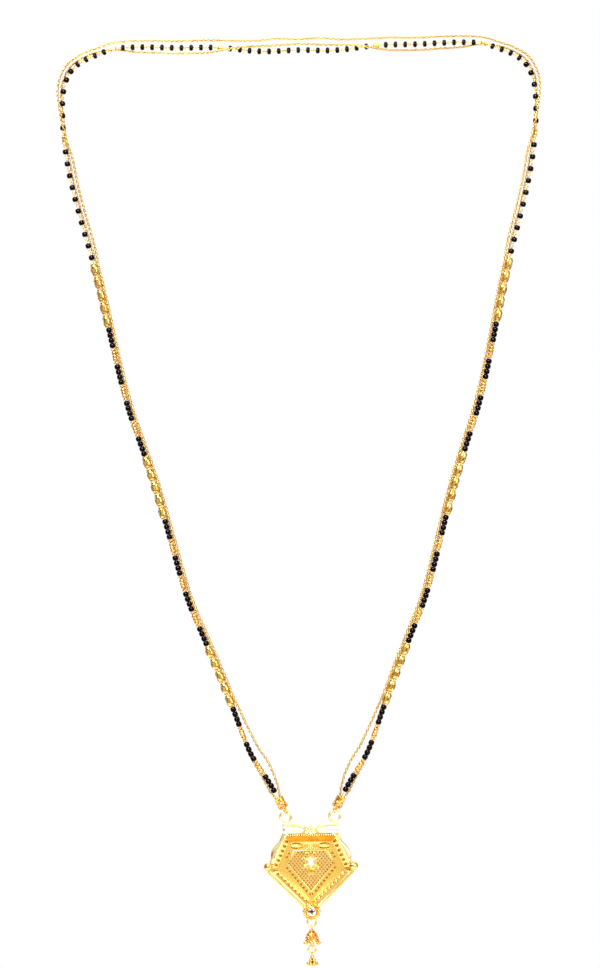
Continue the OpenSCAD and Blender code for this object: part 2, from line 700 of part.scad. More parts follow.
// Six-pointed star of two triangles
module star(w) for (turn = [-90, 90]) rotate(turn) circle(r = w / 2, $fn = 3);

module petal() {
    translate([0, star_w / 2 + petal_l * 0.36]) scale(1) rotate(90) lens(petal_l, petal_l * 0.5);
}

module pendant_lattice() {
    rows = ceil(lattice_h / mesh_h) + 1;
    columns = ceil(lattice_w / mesh_w) + 1;
    meshes = [
        for (j = [0:rows], i = [-columns:columns])
            let (q = [(i + (j % 2) / 2) * mesh_w, lattice_tip + (j + 1.2) * mesh_h])
            if (depth_in(lattice_points, q) > mesh_h * 0.6
                && norm(q - [0, star_z]) > star_keep
                && norm(q - [0, star_z - star_keep]) > mesh_w * 0.9) q];
    color(gold) translate([0, 0, boss_z]) {
        difference() {
            plate(lattice_front, lattice_back) polygon(inset(lattice_points, -solder));
            for (q = meshes) plate(lattice_front - 1, lattice_front + mesh_depth) translate(q) mesh_cut();
            plate(lattice_front - 1, lattice_back + 1) translate([0, star_z]) star(star_w);
        }
        for (turn = [0, 60, 120, 240, 300])
            plate(floor_front, lattice_front + solder / 2) translate([0, star_z]) rotate(turn) petal();
    }
}

// Cut dome: ten sides, two rows of facets and a flat table
module boss_dome() {
    r = dome_d / 2;
    color(gold) translate([0, dome_seat - seat_gap, boss_z]) rotate([90, 0, 0])
        rotate_extrude($fn = 10)
            polygon([[0, 0], [r, 0], [r, 0.3 * dome_h], [0.8 * r, 0.72 * dome_h],
                [0.45 * r, dome_h], [0, dome_h]]);
}

module drop_ring() {
    color(gold) translate([0, 0, boss_z + link_z]) oval_ring(link_w, link_h, link_wire);
}

// Bell: an open cone with pierced sides, ball feet, an eye on top and one below on a stem
module bell() {
    wall = 0.5;
    mouth_r = bell_d / 2;
    color(gold) translate([0, 0, boss_z]) {
        small_eye(bell_eye_z);
        small_eye(inner_eye_z);
        translate([0, 0, inner_eye_z + small_eye_r])
            cylinder(d = small_eye_wire + 0.1, h = bell_top - inner_eye_z - small_eye_r - 0.2,
                $fn = smooth_fn);
        difference() {
            translate([0, 0, bell_low]) rotate_extrude($fn = smooth_fn)
                polygon([[mouth_r - wall, 0], [mouth_r, 0], [mouth_r, 0.08 * bell_h],
                    [0.84 * mouth_r, 0.42 * bell_h], [0.5 * mouth_r, 0.8 * bell_h],
                    [0.24 * mouth_r, bell_h + 0.2], [0, bell_h + 0.2], [0, 0.78 * bell_h],
                    [0.84 * mouth_r - wall, 0.4 * bell_h]]);
            for (turn = [0:60:300])
                rotate([0, 0, turn]) translate([0, 0, bell_low + 0.2 * bell_h]) rotate([90, 0, 0])
                    linear_extrude(bell_d) polygon([[-0.75, 0], [0.75, 0], [0, 0.34 * bell_h]]);
        }
        for (turn = [0:90:270])
            rotate([0, 0, turn]) translate([mouth_r - 0.1, 0, bell_low - 0.1])
                sphere(d = foot_d, $fn = smooth_fn);
    }
}

module bell_ring() {
    color(gold) translate([0, 0, boss_z + low_link_z]) oval_ring(low_link_w, low_link_h, link_wire);
}

// Lowest cluster: an eye, a ball under it and four balls round a fifth
module ball_cluster() {
    eye_low = cluster_eye_z - small_eye_r;
    color(gold) translate([0, 0, boss_z]) {
        small_eye(cluster_eye_z);
        translate([0, 0, eye_low - 0.62 * grape_d])
            cylinder(d = small_eye_wire + 0.2, h = 0.62 * grape_d, $fn = smooth_fn);
        translate([0, 0, eye_low - 0.8 * grape_d]) sphere(d = 0.9 * grape_d, $fn = smooth_fn);
        for (turn = [0:90:270])
            rotate([0, 0, turn]) translate([0.7 * grape_d, 0, eye_low - 1.45 * grape_d])
                sphere(d = grape_d, $fn = smooth_fn);
        translate([0, 0, eye_low - 1.6 * grape_d]) sphere(d = grape_d, $fn = smooth_fn);
    }
}

module flip() mirror([1, 0, 0]) children();

wire_left();
flip() wire_left();  // wire_right
black_beads_left();
flip() black_beads_left();  // black_beads_right
gold_balls_left();
flip() gold_balls_left();  // gold_balls_right
spacers_left();
flip() spacers_left();  // spacers_right
back_beads_left();
flip() back_beads_left();  // back_beads_right
centre_bead();
joiners_left();
flip() joiners_left();  // joiners_right
inner_chain_left();
flip() inner_chain_left();  // inner_chain_right
outer_chain_left();
flip() outer_chain_left();  // outer_chain_right
end_cap_left();
flip() end_cap_left();  // end_cap_right
pendant_frame();
pendant_lattice();
boss_dome();
drop_ring();
bell();
bell_ring();
ball_cluster();
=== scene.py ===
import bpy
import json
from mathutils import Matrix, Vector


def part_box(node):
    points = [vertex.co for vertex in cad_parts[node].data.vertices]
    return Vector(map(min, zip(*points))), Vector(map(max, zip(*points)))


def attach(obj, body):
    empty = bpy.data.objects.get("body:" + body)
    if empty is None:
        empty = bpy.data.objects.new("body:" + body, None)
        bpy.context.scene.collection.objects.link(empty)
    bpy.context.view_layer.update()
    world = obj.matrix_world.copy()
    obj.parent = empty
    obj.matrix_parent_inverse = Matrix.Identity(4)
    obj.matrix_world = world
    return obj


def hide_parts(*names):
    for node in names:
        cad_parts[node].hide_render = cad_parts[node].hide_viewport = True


bl_info = {
    "name": "Mangalsutra",
    "version": (1, 0, 0),
    "blender": (4, 5, 0),
    "location": "3D View > Sidebar > Mangalsutra",
    "description": "Models a long black bead and gold chain necklace with a pierced tray pendant",
    "category": "Add Mesh",
}

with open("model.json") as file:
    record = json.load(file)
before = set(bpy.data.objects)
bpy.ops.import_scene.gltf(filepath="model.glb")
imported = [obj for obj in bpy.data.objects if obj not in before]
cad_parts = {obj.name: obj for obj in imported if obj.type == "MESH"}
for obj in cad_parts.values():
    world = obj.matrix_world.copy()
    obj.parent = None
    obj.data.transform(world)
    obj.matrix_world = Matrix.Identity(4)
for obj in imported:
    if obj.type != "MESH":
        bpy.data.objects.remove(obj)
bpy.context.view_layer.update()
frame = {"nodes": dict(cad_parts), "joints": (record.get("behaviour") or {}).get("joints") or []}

import json
import math
import random

import bmesh
import bpy
import numpy as np
from bpy.props import FloatProperty, FloatVectorProperty, IntProperty, PointerProperty
from mathutils import Matrix, Vector

MM = 0.001
TAU = 2 * math.pi
SIDES = ("left", "right")
# Attribute that marks painted shade and painted dark reflections on a piece.
PAINTED_DARK = "paint_dark"
BEADS = "Glass beads"
BOSS = sum(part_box("boss_dome"), Vector()) / 2
BOSS.y = 0
HANG_Z = frame["joints"][0]["pos_m"][2]
FINISHES = {}


# Settings

def length(name, description, mm):
    return FloatProperty(
        name=name, description=description, default=mm * MM, min=0, unit="LENGTH", precision=5)


def colour(name, description, rgb):
    return FloatVectorProperty(
        name=name, description=description, default=(*rgb, 1.0), size=4, min=0, max=1, subtype="COLOR")


class StrandSizes(bpy.types.PropertyGroup):
    """Sizes of the beads, balls, wire and chains."""
    bead_d: length("Bead diameter", "Diameter of a black bead", 2.26)
    bead_l: length("Bead length", "Length of a black bead along its wire", 1.97)
    flat_bead_d: length("Flat bead diameter", "Diameter of a black bead behind the neck", 2.4)
    flat_bead_l: length("Flat bead length", "Length of a black bead behind the neck", 1.5)
    ball_d: length("Ball diameter", "Widest diameter of a cut gold ball", 3.3)
    ball_l: length("Ball length", "Length of a cut gold ball", 4.85)
    ball_cuts: IntProperty(
        name="Ball cuts", description="Slanted cuts round a gold ball", default=5, min=4, max=12)
    spacer_d: length("Spacer diameter", "Diameter of a spacer's barrel", 2.1)
    spacer_l: length("Spacer length", "Length of a spacer", 5.95)
    joiner_d: length("Joiner diameter", "Diameter of a gold tube behind the neck", 1.9)
    joiner_l: length("Joiner length", "Length of a gold tube behind the neck", 2.9)
    back_ball_d: length("Back ball diameter", "Diameter of the plain gold bead", 2.5)
    wire_d: length("Wire diameter", "Diameter of the wire that carries the beads", 0.42)
    eye_d: length("Eye diameter", "Outside diameter of the wire eyes between the single beads", 1.36)
    eye_wire: length("Eye wire", "Wire diameter of those eyes", 0.3)
    link_l: length("Link length", "Outside length of a chain link", 1.56)
    link_w: length("Link width", "Outside width of a chain link", 1.12)
    link_wire: length("Link wire", "Wire diameter of a chain link", 0.4)
    link_pitch: length("Link pitch", "Distance from one chain link to the next", 0.93)


class PendantSizes(bpy.types.PropertyGroup):
    """Sizes of the pendant, measured from the middle of its boss."""
    tray_w: length("Tray width", "Width across the side corners", 32.8)
    tray_top_w: length("Top width", "Width across the top corners of the well", 20.8)
    tray_h: length("Tray height", "Height from the lower tip to the well's top edge", 31.9)
    tip_drop: length("Tip drop", "Distance of the lower tip below the boss", 2)
    corner_h: length("Corner height", "Height of the upright edge at a side corner", 2.6)
    rim_w: length("Rim width", "Width of the smooth rim", 1.25)
    slope_w: length("Slope width", "Width of the slotted slope, seen from the front", 2.4)
    front: length("Rim front", "Distance of the rim's front from the middle plane", 1.6)
    back: length("Back", "Distance of the back from the middle plane", 1.4)
    floor: length("Floor depth", "Distance of the floor behind the middle plane", 0.3)
    slot_pitch: length("Slot pitch", "Spacing of the slots in the slope", 1.85)
    slot_w: length("Slot width", "Width of a slot", 0.36)
    horn_rise: length("Lobe rise", "Height of the two lobes above the well's top edge", 3.8)
    top_dip: length("Top dip", "Dip of the top edge between the lobes", 2.6)
    dip_w: length("Dip width", "Width of that dip", 16)
    ring_x: length("Ring offset", "Distance of a top ring from the middle", 9.3)
    ring_w: length("Ring width", "Outside width of a top ring", 4.8)
    ring_h: length("Ring height", "Outside height of a top ring", 5.1)
    ring_wire: length("Ring wire", "Wire diameter of a top ring", 0.84)
    leaf_crown: length("Leaf crown", "Height of a polished leaf above the rim", 0.8)
    lattice_w: length("Lattice width", "Width of the lattice at its widest", 18.2)
    lattice_top_w: length("Lattice top width", "Width of the lattice along its top edge", 12.4)
    lattice_h: length("Lattice height", "Height of the lattice from tip to top edge", 15.8)
    lattice_corner_h: length("Lattice corner", "Height of its widest place above the tip", 11)
    lattice_rise: length("Lattice rise", "Distance from the tray's tip to the lattice's tip", 9.2)
    mesh_w: length("Mesh width", "Width of one mesh of the lattice", 1.36)
    strip_w: length("Strip width", "Width of the strips between the meshes", 0.4)
    collar_d: length("Collar diameter", "Diameter of the scalloped collar", 7)
    scallops: IntProperty(name="Scallops", description="Scallops round the collar", default=12, min=6, max=20)
    dome_d: length("Dome diameter", "Diameter of the cut dome", 4)
    knob_d: length("Knob diameter", "Diameter of the ball on a side corner", 3.5)


class NecklaceColours(bpy.types.PropertyGroup):
    """Colours of the finishes."""
    gold: colour("Gold", "Bright gold plating", (0.96, 0.6, 0.12))
    pale_gold: colour("Pale gold", "Polished gold where it is cut or rubbed", (1.0, 0.78, 0.31))
    # Painted highlight: near-white gold that stands in for the bright highlight on the polished leaves and
    # the dome.
    highlight_white_gold: colour("Highlight gold", "Painted white highlight of the leaves and the dome", (1.0, 0.92, 0.7))
    # Painted shade: orange gold for gold in shade, in recesses, and as the base of the caps, spacers, bell,
    # collar, knobs and ball cluster.
    warm_shade_gold: colour("Warm shade gold", "Gold in the recesses", (0.74, 0.29, 0.02))
    shaded_gold: colour("Shaded gold", "Gold behind the slots", (0.5, 0.26, 0.035))
    # Painted shade: the darkest gold, for the deepest shade in narrow cuts, necks and joints.
    deep_shade_gold: colour("Dark gold", "Gold in the finest grooves", (0.3, 0.09, 0.01))
    black_glass: colour("Black glass", "Glass of the beads", (0.0004, 0.0002, 0.0002))
    brown_glass: colour("Brown glass", "Warm streaks in the glass", (0.0016, 0.0004, 0.0003))
    floor: colour("Floor", "Studio floor", (0.92, 0.91, 0.9))


# Modelling helpers

def clear_selection():
    if bpy.context.mode != "OBJECT":
        bpy.ops.object.mode_set(mode="OBJECT")
    bpy.ops.object.select_all(action="DESELECT")


def pick(obj):
    clear_selection()
    obj.select_set(True)
    bpy.context.view_layer.objects.active = obj


def settle():
    """Applies the placing of the piece that was just added or moved."""
    bpy.ops.object.transform_apply(location=True, rotation=True, scale=True)
    return bpy.context.object


def shade(obj, angle=None):
    pick(obj)
    if angle:
        bpy.ops.object.shade_smooth_by_angle(angle=math.radians(angle))
    else:
        bpy.ops.object.shade_smooth()
    return obj


def clean(obj, weld=0.002 * MM):
    """Merges doubles and turns the faces outwards."""
    pick(obj)
    bpy.ops.object.mode_set(mode="EDIT")
    bpy.ops.mesh.select_all(action="SELECT")
    if weld:
        bpy.ops.mesh.remove_doubles(threshold=weld)
    bpy.ops.mesh.normals_make_consistent(inside=False)
    bpy.ops.object.mode_set(mode="OBJECT")
    return obj


def move_points(obj, rule):
    """Moves each vertex to the place that the rule gives for it."""
    for vertex in obj.data.vertices:
        vertex.co = rule(vertex.co)
    obj.data.update()
    return obj


def both_ends(rows):
    """A profile of (radius, height) rows with its mirror image on the other side of height 0."""
    return rows + [(r, -z) for r, z in reversed(rows) if z]


def lathe(profile, steps):
    """Turns a closed or pole-to-pole profile of (radius, height) round the Z axis."""
    clear_selection()
    bpy.ops.mesh.primitive_circle_add(vertices=3, radius=MM)
    obj = bpy.context.object
    bpy.ops.object.mode_set(mode="EDIT")
    bpy.ops.mesh.merge(type="CENTER")
    bpy.ops.transform.translate(value=(profile[0][0], 0, profile[0][1]))
    for a, b in zip(profile, profile[1:]):
        bpy.ops.mesh.extrude_region_move(TRANSFORM_OT_translate={"value": (b[0] - a[0], 0, b[1] - a[1])})
    bpy.ops.mesh.select_all(action="SELECT")
    bpy.ops.mesh.spin(steps=steps, angle=TAU, center=(0, 0, 0), axis=(0, 0, 1))
    return clean(obj)


def ball(diameter, segments=12, rings=8):
    clear_selection()
    bpy.ops.mesh.primitive_uv_sphere_add(segments=segments, ring_count=rings, radius=diameter / 2)
    return shade(bpy.context.object)


def oval(diameter, x, y, z, segments=12, rings=8):
    """A ball drawn out or flattened along each axis."""
    return move_points(ball(diameter, segments, rings), lambda co: Vector((co.x * x, co.y * y, co.z * z)))


def ring(width, height, wire, around=28, wire_steps=10):
    """An upright wire ring that faces the front, drawn out where it is taller than wide."""
    clear_selection()
    bpy.ops.mesh.primitive_torus_add(
        major_radius=(width - wire) / 2, minor_radius=wire / 2, major_segments=around,
        minor_segments=wire_steps, rotation=(math.pi / 2, 0, 0))
    half = (height - width) / 2

    def stretch(co):
        return co + Vector((0, 0, math.copysign(half, co.z) if abs(co.z) > 1e-7 else 0))

    return shade(move_points(settle(), stretch))


def drawn_lines(dimensions, runs, **place):
    """A curve object of straight runs; each run is (points, closed)."""
    clear_selection()
    bpy.ops.object.add(type="CURVE", **place)
    curve = bpy.context.object.data
    curve.dimensions = dimensions
    for points, closed in runs:
        spline = curve.splines.new("POLY")
        spline.points.add(len(points) - 1)
        for point, co in zip(spline.points, points):
            point.co = (*co, 1)
        spline.use_cyclic_u = closed
    return curve


def as_mesh():
    bpy.ops.object.convert(target="MESH")
    return clean(settle())


def pierced(outlines, front, back, round_by):
    """A sheet with holes in the front plane, from depth front to depth back, with rounded edges."""
    runs = [([(x, z, 0) for x, z in points], True) for points in outlines]
    curve = drawn_lines("2D", runs, rotation=(math.pi / 2, 0, 0), location=(0, (front + back) / 2, 0))
    curve.fill_mode = "BOTH"
    curve.offset = -round_by
    curve.bevel_depth = round_by
    curve.bevel_resolution = 1
    curve.extrude = (back - front) / 2 - round_by
    return as_mesh()


def wires(runs, diameter, steps=2):
    """Round wires along runs of points."""
    curve = drawn_lines("3D", runs)
    curve.bevel_depth = diameter / 2
    curve.bevel_resolution = steps
    curve.use_fill_caps = True
    return shade(as_mesh())


def crowned(start, end, upper, lower, base, crown, columns=20, rows=8, sink=0.5 * MM):
    """A polished leaf along a line in the front plane, crowned towards the front. Its edges stand off to
    the left of the line by upper(u) and lower(u), with u from 0 to 1 along it."""
    clear_selection()
    bpy.ops.mesh.primitive_grid_add(x_subdivisions=columns, y_subdivisions=rows, size=2)
    dx, dz = unit(start, end)
    span = math.dist(start, end)

    def lay(co):
        u, v = (co.x + 1) / 2, (co.y + 1) / 2
        off = lower(u) + (upper(u) - lower(u)) * v
        bow = math.sin(math.pi * v) ** 0.7 if 0 < v < 1 else 0
        fade = min(1, 6 * u + 0.25, 6 * (1 - u) + 0.35)
        return Vector((start[0] + dx * u * span - dz * off, base - crown * bow * fade,
                       start[1] + dz * u * span + dx * off))

    leaf = clean(move_points(bpy.context.object, lay))
    wall = leaf.modifiers.new("Wall", "SOLIDIFY")
    wall.thickness = sink
    wall.offset = 1 if leaf.data.polygons[0].normal.y > 0 else -1
    bpy.ops.object.modifier_apply(modifier=wall.name)
    return shade(leaf, angle=60)


def painted_dark_marks(mesh):
    """Mark at each vertex for painted shade and painted dark reflections: 0 keeps the surface colour, 1 gives
    the deep colour.
    """
    return mesh.attributes.get(PAINTED_DARK) or mesh.attributes.new(PAINTED_DARK, "FLOAT", "POINT")


# Sets the painted shade mark of every vertex by a rule.
def paint_dark(obj, rule):
    painted_dark_marks(obj.data).data.foreach_set("value", [rule(v.co) for v in obj.data.vertices])
    return obj


def join(parts):
    for part in parts:
        painted_dark_marks(part.data)
    pick(parts[0])
    for part in parts:
        part.select_set(True)
    if len(parts) > 1:
        bpy.ops.object.join()
    return parts[0]


def mirrored(obj):
    """A copy of a piece on the other side of the middle plane."""
    pick(obj)
    bpy.ops.object.duplicate()
    bpy.ops.transform.resize(value=(-1, 1, 1))
    return clean(settle(), weld=0)


def with_twin(parts):
    """Parts of the right side with their mirror images, in one piece."""
    right = join(parts)
    return join([right, mirrored(right)])


def copies(shape, places):
    """One mesh of copies of a modelled shape, one for each placing matrix. The shape itself goes."""
    source = shape.data
    points = np.empty(len(source.vertices) * 3)
    source.vertices.foreach_get("co", points)
    points = points.reshape(-1, 3)
    faces = [tuple(face.vertices) for face in source.polygons]
    flags = [face.use_smooth for face in source.polygons]
    depths = np.zeros(len(points))
    painted_dark_marks(source).data.foreach_get("value", depths)
    all_points, all_faces = [], []
    for k, place in enumerate(places):
        turn = np.array(place)
        all_points.append(points @ turn[:3, :3].T + turn[:3, 3])
        start = k * len(points)
        all_faces += [tuple(start + i for i in face) for face in faces]
    mesh = bpy.data.meshes.new("copies")
    mesh.from_pydata(np.vstack(all_points).tolist(), [], all_faces)
    mesh.polygons.foreach_set("use_smooth", flags * len(places))
    painted_dark_marks(mesh).data.foreach_set("value", np.tile(depths, len(places)))
    mesh.update()
    obj = bpy.data.objects.new("copies", mesh)
    bpy.context.scene.collection.objects.link(obj)
    bpy.data.objects.remove(shape)
    return obj


def at(x, y, z):
    return Matrix.Translation((x, y, z))


def turned(degrees, axis):
    return Matrix.Rotation(math.radians(degrees), 4, axis)


def sized(size):
    return Matrix.Scale(size, 4)


def round_about(axis, count, place, start=0.0):
    """Placing matrices for copies spread evenly round an axis."""
    return [Matrix.Rotation(TAU * (k + start) / count, 4, axis) @ place for k in range(count)]


def placing(place, along, turn=0.0):
    """Matrix that puts a shape at a place with its Z axis along a direction, turned about it."""
    z = Vector(along).normalized()
    x = Vector((0, 1, 0)).cross(z).normalized()
    basis = Matrix((x, z.cross(x), z)).transposed().to_4x4()
    return Matrix.Translation(place) @ basis @ Matrix.Rotation(turn, 4, "Z")


def dress(name, obj, finish, body, slot, *nodes):
    """Names a finished piece, gives it its finish and body, hides the CAD nodes it stands for and puts a
    piece of black glass among the glass beads.
    """
    obj.name = obj.data.name = name
    obj.data.materials.clear()
    obj.data.materials.append(FINISHES[finish])
    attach(obj, body)
    if nodes:
        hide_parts(*nodes)
    if slot == "black_glass":
        bpy.data.collections[BEADS].objects.link(obj)


def hang(name, obj, finish, slot="gold", *nodes):
    """Moves a piece of the pendant from the origin to the boss and dresses it."""
    pick(obj)
    bpy.ops.transform.translate(value=BOSS)
    dress(name, settle(), finish, "pendant", slot, *nodes)


# What the frame says

def merged_copy(node):
    mesh = bmesh.new()
    mesh.from_mesh(frame["nodes"][node].data)
    bmesh.ops.remove_doubles(mesh, verts=mesh.verts, dist=0.001 * MM)
    return mesh


def neighbours(vertices, seen):
    """The vertices one edge away from a set that weren't met before."""
    found = {edge.other_vert(vertex) for vertex in vertices for edge in vertex.link_edges} - seen
    seen |= found
    return found


def solid_centres(node):
    """Centres of the separate solids of a CAD node."""
    mesh = merged_copy(node)
    centres, seen = [], set()
    for first in mesh.verts:
        if first in seen:
            continue
        seen.add(first)
        wave, whole = {first}, {first}
        while wave:
            wave = neighbours(wave, seen)
            whole |= wave
        points = np.array([vertex.co for vertex in whole])
        centres.append(Vector((points.min(0) + points.max(0)) / 2))
    mesh.free()
    return centres


def ring_centres(node):
    """Centres of the rings of a swept CAD node, from the middle of the back to the cap."""
    mesh = merged_copy(node)
    middle = min(abs(vertex.co.x) for vertex in mesh.verts)
    wave = {vertex for vertex in mesh.verts if abs(vertex.co.x) < middle + 0.01 * MM}
    seen = set(wave)
    centres = []
    while wave:
        centres.append(np.mean([vertex.co for vertex in wave], axis=0))
        wave = neighbours(wave, seen)
    mesh.free()
    return np.array(centres)


class Route:
    """The smooth way of a swept CAD node, from the middle of the back to its cap."""

    steps = 8
    near = 0.3 * MM

    def __init__(self, node):
        rings = ring_centres(node)
        padded = np.vstack([2 * rings[0] - rings[1], rings, 2 * rings[-1] - rings[-2]])
        share = np.linspace(0, 1, self.steps, endpoint=False)[:, None]
        spans = []
        for a, b, c, d in zip(padded, padded[1:], padded[2:], padded[3:]):
            spans.append(0.5 * (2 * b + (c - a) * share + (2 * a - 5 * b + 4 * c - d) * share ** 2
                                + (3 * b - 3 * c + d - a) * share ** 3))
        self.points = np.vstack(spans + [rings[-1:]])
        gaps = np.linalg.norm(np.diff(self.points, axis=0), axis=1)
        self.runs = np.concatenate([[0], np.cumsum(gaps)])
        self.length = self.runs[-1]

    def at(self, run):
        return Vector([np.interp(run, self.runs, self.points[:, axis]) for axis in range(3)])

    def way(self, run):
        return (self.at(min(run + self.near, self.length)) - self.at(max(run - self.near, 0))).normalized()

    def nearest(self, place):
        return self.runs[int(np.argmin(np.linalg.norm(self.points - np.array(place), axis=1)))]

    def place(self, run, turn):
        """Placing matrix for a shape on the route, turned about it."""
        return placing(self.at(run), self.way(run), turn)

    def stations(self, centres, seed):
        """Placing matrices for shapes at the centres of solids, each turned by chance."""
        dice = random.Random(seed)
        return [placing(c, self.way(self.nearest(c)), dice.uniform(0, TAU)) for c in centres]


# Shader nodes

def feed(tree, socket, value):
    """Sets a socket, or links it where the value is another node's socket."""
    if isinstance(value, bpy.types.NodeSocket):
        tree.links.new(value, socket)
    else:
        socket.default_value = value


def add_node(tree, kind, group=None, **inputs):
    """A shader node with its inputs set by name, and with an underscore for each space."""
    node = tree.nodes.new("ShaderNode" + kind)
    if group:
        node.node_tree = bpy.data.node_groups[group]
    for name, value in inputs.items():
        feed(tree, node.inputs[name.replace("_", " ")], value)
    return node


def calculate(tree, operation, *values, clamp=False):
    node = tree.nodes.new("ShaderNodeMath")
    node.operation = operation
    node.use_clamp = clamp
    for socket, value in zip(node.inputs, values):
        feed(tree, socket, value)
    return node.outputs[0]


def mix_colours(tree, share, first, second):
    node = tree.nodes.new("ShaderNodeMix")
    node.data_type = "RGBA"
    for place, value in ((0, share), (6, first), (7, second)):
        feed(tree, node.inputs[place], value)
    return node.outputs[2]


def new_group(name, inputs, outputs):
    """A shader group, as its tree and its inner sockets; an input without a value and Color are colours."""
    tree = bpy.data.node_groups.new(name, "ShaderNodeTree")
    for label, value in inputs.items():
        kind = "NodeSocketColor" if value is None else "NodeSocketFloat"
        socket = tree.interface.new_socket(label, in_out="INPUT", socket_type=kind)
        if value is not None:
            socket.default_value = value
    for label in outputs:
        kind = "NodeSocketColor" if label == "Color" else "NodeSocketFloat"
        tree.interface.new_socket(label, in_out="OUTPUT", socket_type=kind)
    return tree, tree.nodes.new("NodeGroupInput").outputs, tree.nodes.new("NodeGroupOutput").inputs


def plating_group():
    """Plated surface: uneven colour, uneven polish and a faint cast skin."""
    tree, given, out = new_group(
        "Plating", {"Color": None, "Worn Color": None, "Patch Scale": 400.0, "Wear": 0.4, "Roughness": 0.15,
                    "Skin Scale": 2500.0}, ("Color", "Roughness", "Height"))
    place = add_node(tree, "TexCoord").outputs["Object"]
    patches = add_node(tree, "TexNoise", Vector=place, Scale=given["Patch Scale"], Detail=4.0, Roughness=0.6)
    spread = add_node(tree, "MapRange", Value=patches.outputs["Fac"], From_Min=0.35, From_Max=0.75)
    worn = calculate(tree, "MULTIPLY", spread.outputs["Result"], given["Wear"])
    feed(tree, out["Color"], mix_colours(tree, worn, given["Color"], given["Worn Color"]))
    skin = add_node(tree, "TexNoise", Vector=place, Scale=given["Skin Scale"], Detail=3.0, Roughness=0.7)
    height = skin.outputs["Fac"]
    feed(tree, out["Height"], height)
    feed(tree, out["Roughness"], calculate(tree, "MULTIPLY_ADD", height, 0.16, given["Roughness"]))


def recess_shade_group():
    """Painted shade: deeper colour towards a back depth and where a piece's own attribute marks it, for
    painted shade and painted dark reflections.
    """
    tree, given, out = new_group(
        "Recess shade", {"Color": None, "Deep Color": None, "Front": 0.0, "Back": 0.001, "Amount": 0.0,
                   "Groove Amount": 0.8}, ("Color",))
    split = add_node(tree, "SeparateXYZ", Vector=add_node(tree, "TexCoord").outputs["Object"])
    depth = add_node(tree, "MapRange", Value=split.outputs["Y"], From_Min=given["Front"],
                     From_Max=given["Back"], To_Max=given["Amount"])
    mark = tree.nodes.new("ShaderNodeAttribute")
    mark.attribute_name = PAINTED_DARK
    total = calculate(tree, "MULTIPLY_ADD", mark.outputs["Fac"], given["Groove Amount"],
                      depth.outputs["Result"], clamp=True)
    feed(tree, out["Color"], mix_colours(tree, total, given["Color"], given["Deep Color"]))


def new_material(name, **values):
    """A material with values set on its shader."""
    material = bpy.data.materials.new(name)
    material.use_nodes = True
    shader = material.node_tree.nodes["Principled BSDF"]
    for label, value in values.items():
        shader.inputs[label.replace("_", " ")].default_value = value
    return material, material.node_tree, shader.inputs


def raise_skin(tree, shader, height, depth, strength):
    bump = add_node(tree, "Bump", Strength=strength, Distance=depth, Height=height)
    feed(tree, shader["Normal"], bump.outputs["Normal"])


def gold_finish(name, base, worn, deep, front=0.0, back=1 * MM, amount=0.0, grooves=0.8, wear=0.4,
                roughness=0.12, patch=400.0, bump=0.2):
    """Gold with a base and a worn colour, and painted shade: a deeper colour on marked vertices and from a
    front to a back depth.
    """
    material, tree, shader = new_material(name, Metallic=1.0)
    plating = add_node(tree, "Group", "Plating", Color=base, Worn_Color=worn, Patch_Scale=patch, Wear=wear,
                       Roughness=roughness).outputs
    recess = add_node(tree, "Group", "Recess shade", Color=plating["Color"], Deep_Color=deep, Front=front,
                      Back=back, Amount=amount, Groove_Amount=grooves).outputs
    feed(tree, shader["Base Color"], recess["Color"])
    feed(tree, shader["Roughness"], plating["Roughness"])
    raise_skin(tree, shader, plating["Height"], 0.02 * MM, bump)
    return material


def glass_finish(name, base, streak):
    """Black glass with faint brown streaks and a wet gloss."""
    material, tree, shader = new_material(name, Roughness=0.04, IOR=1.52, Specular_IOR_Level=0.035)
    place = add_node(tree, "TexCoord").outputs["Object"]
    streaks = add_node(tree, "TexNoise", Vector=place, Scale=260.0, Detail=2.0, Distortion=0.6)
    feed(tree, shader["Base Color"], mix_colours(tree, streaks.outputs["Fac"], base, streak))
    dimples = add_node(tree, "TexNoise", Vector=place, Scale=1400.0, Detail=1.0)
    raise_skin(tree, shader, dimples.outputs["Fac"], 0.03 * MM, 0.08)
    return material


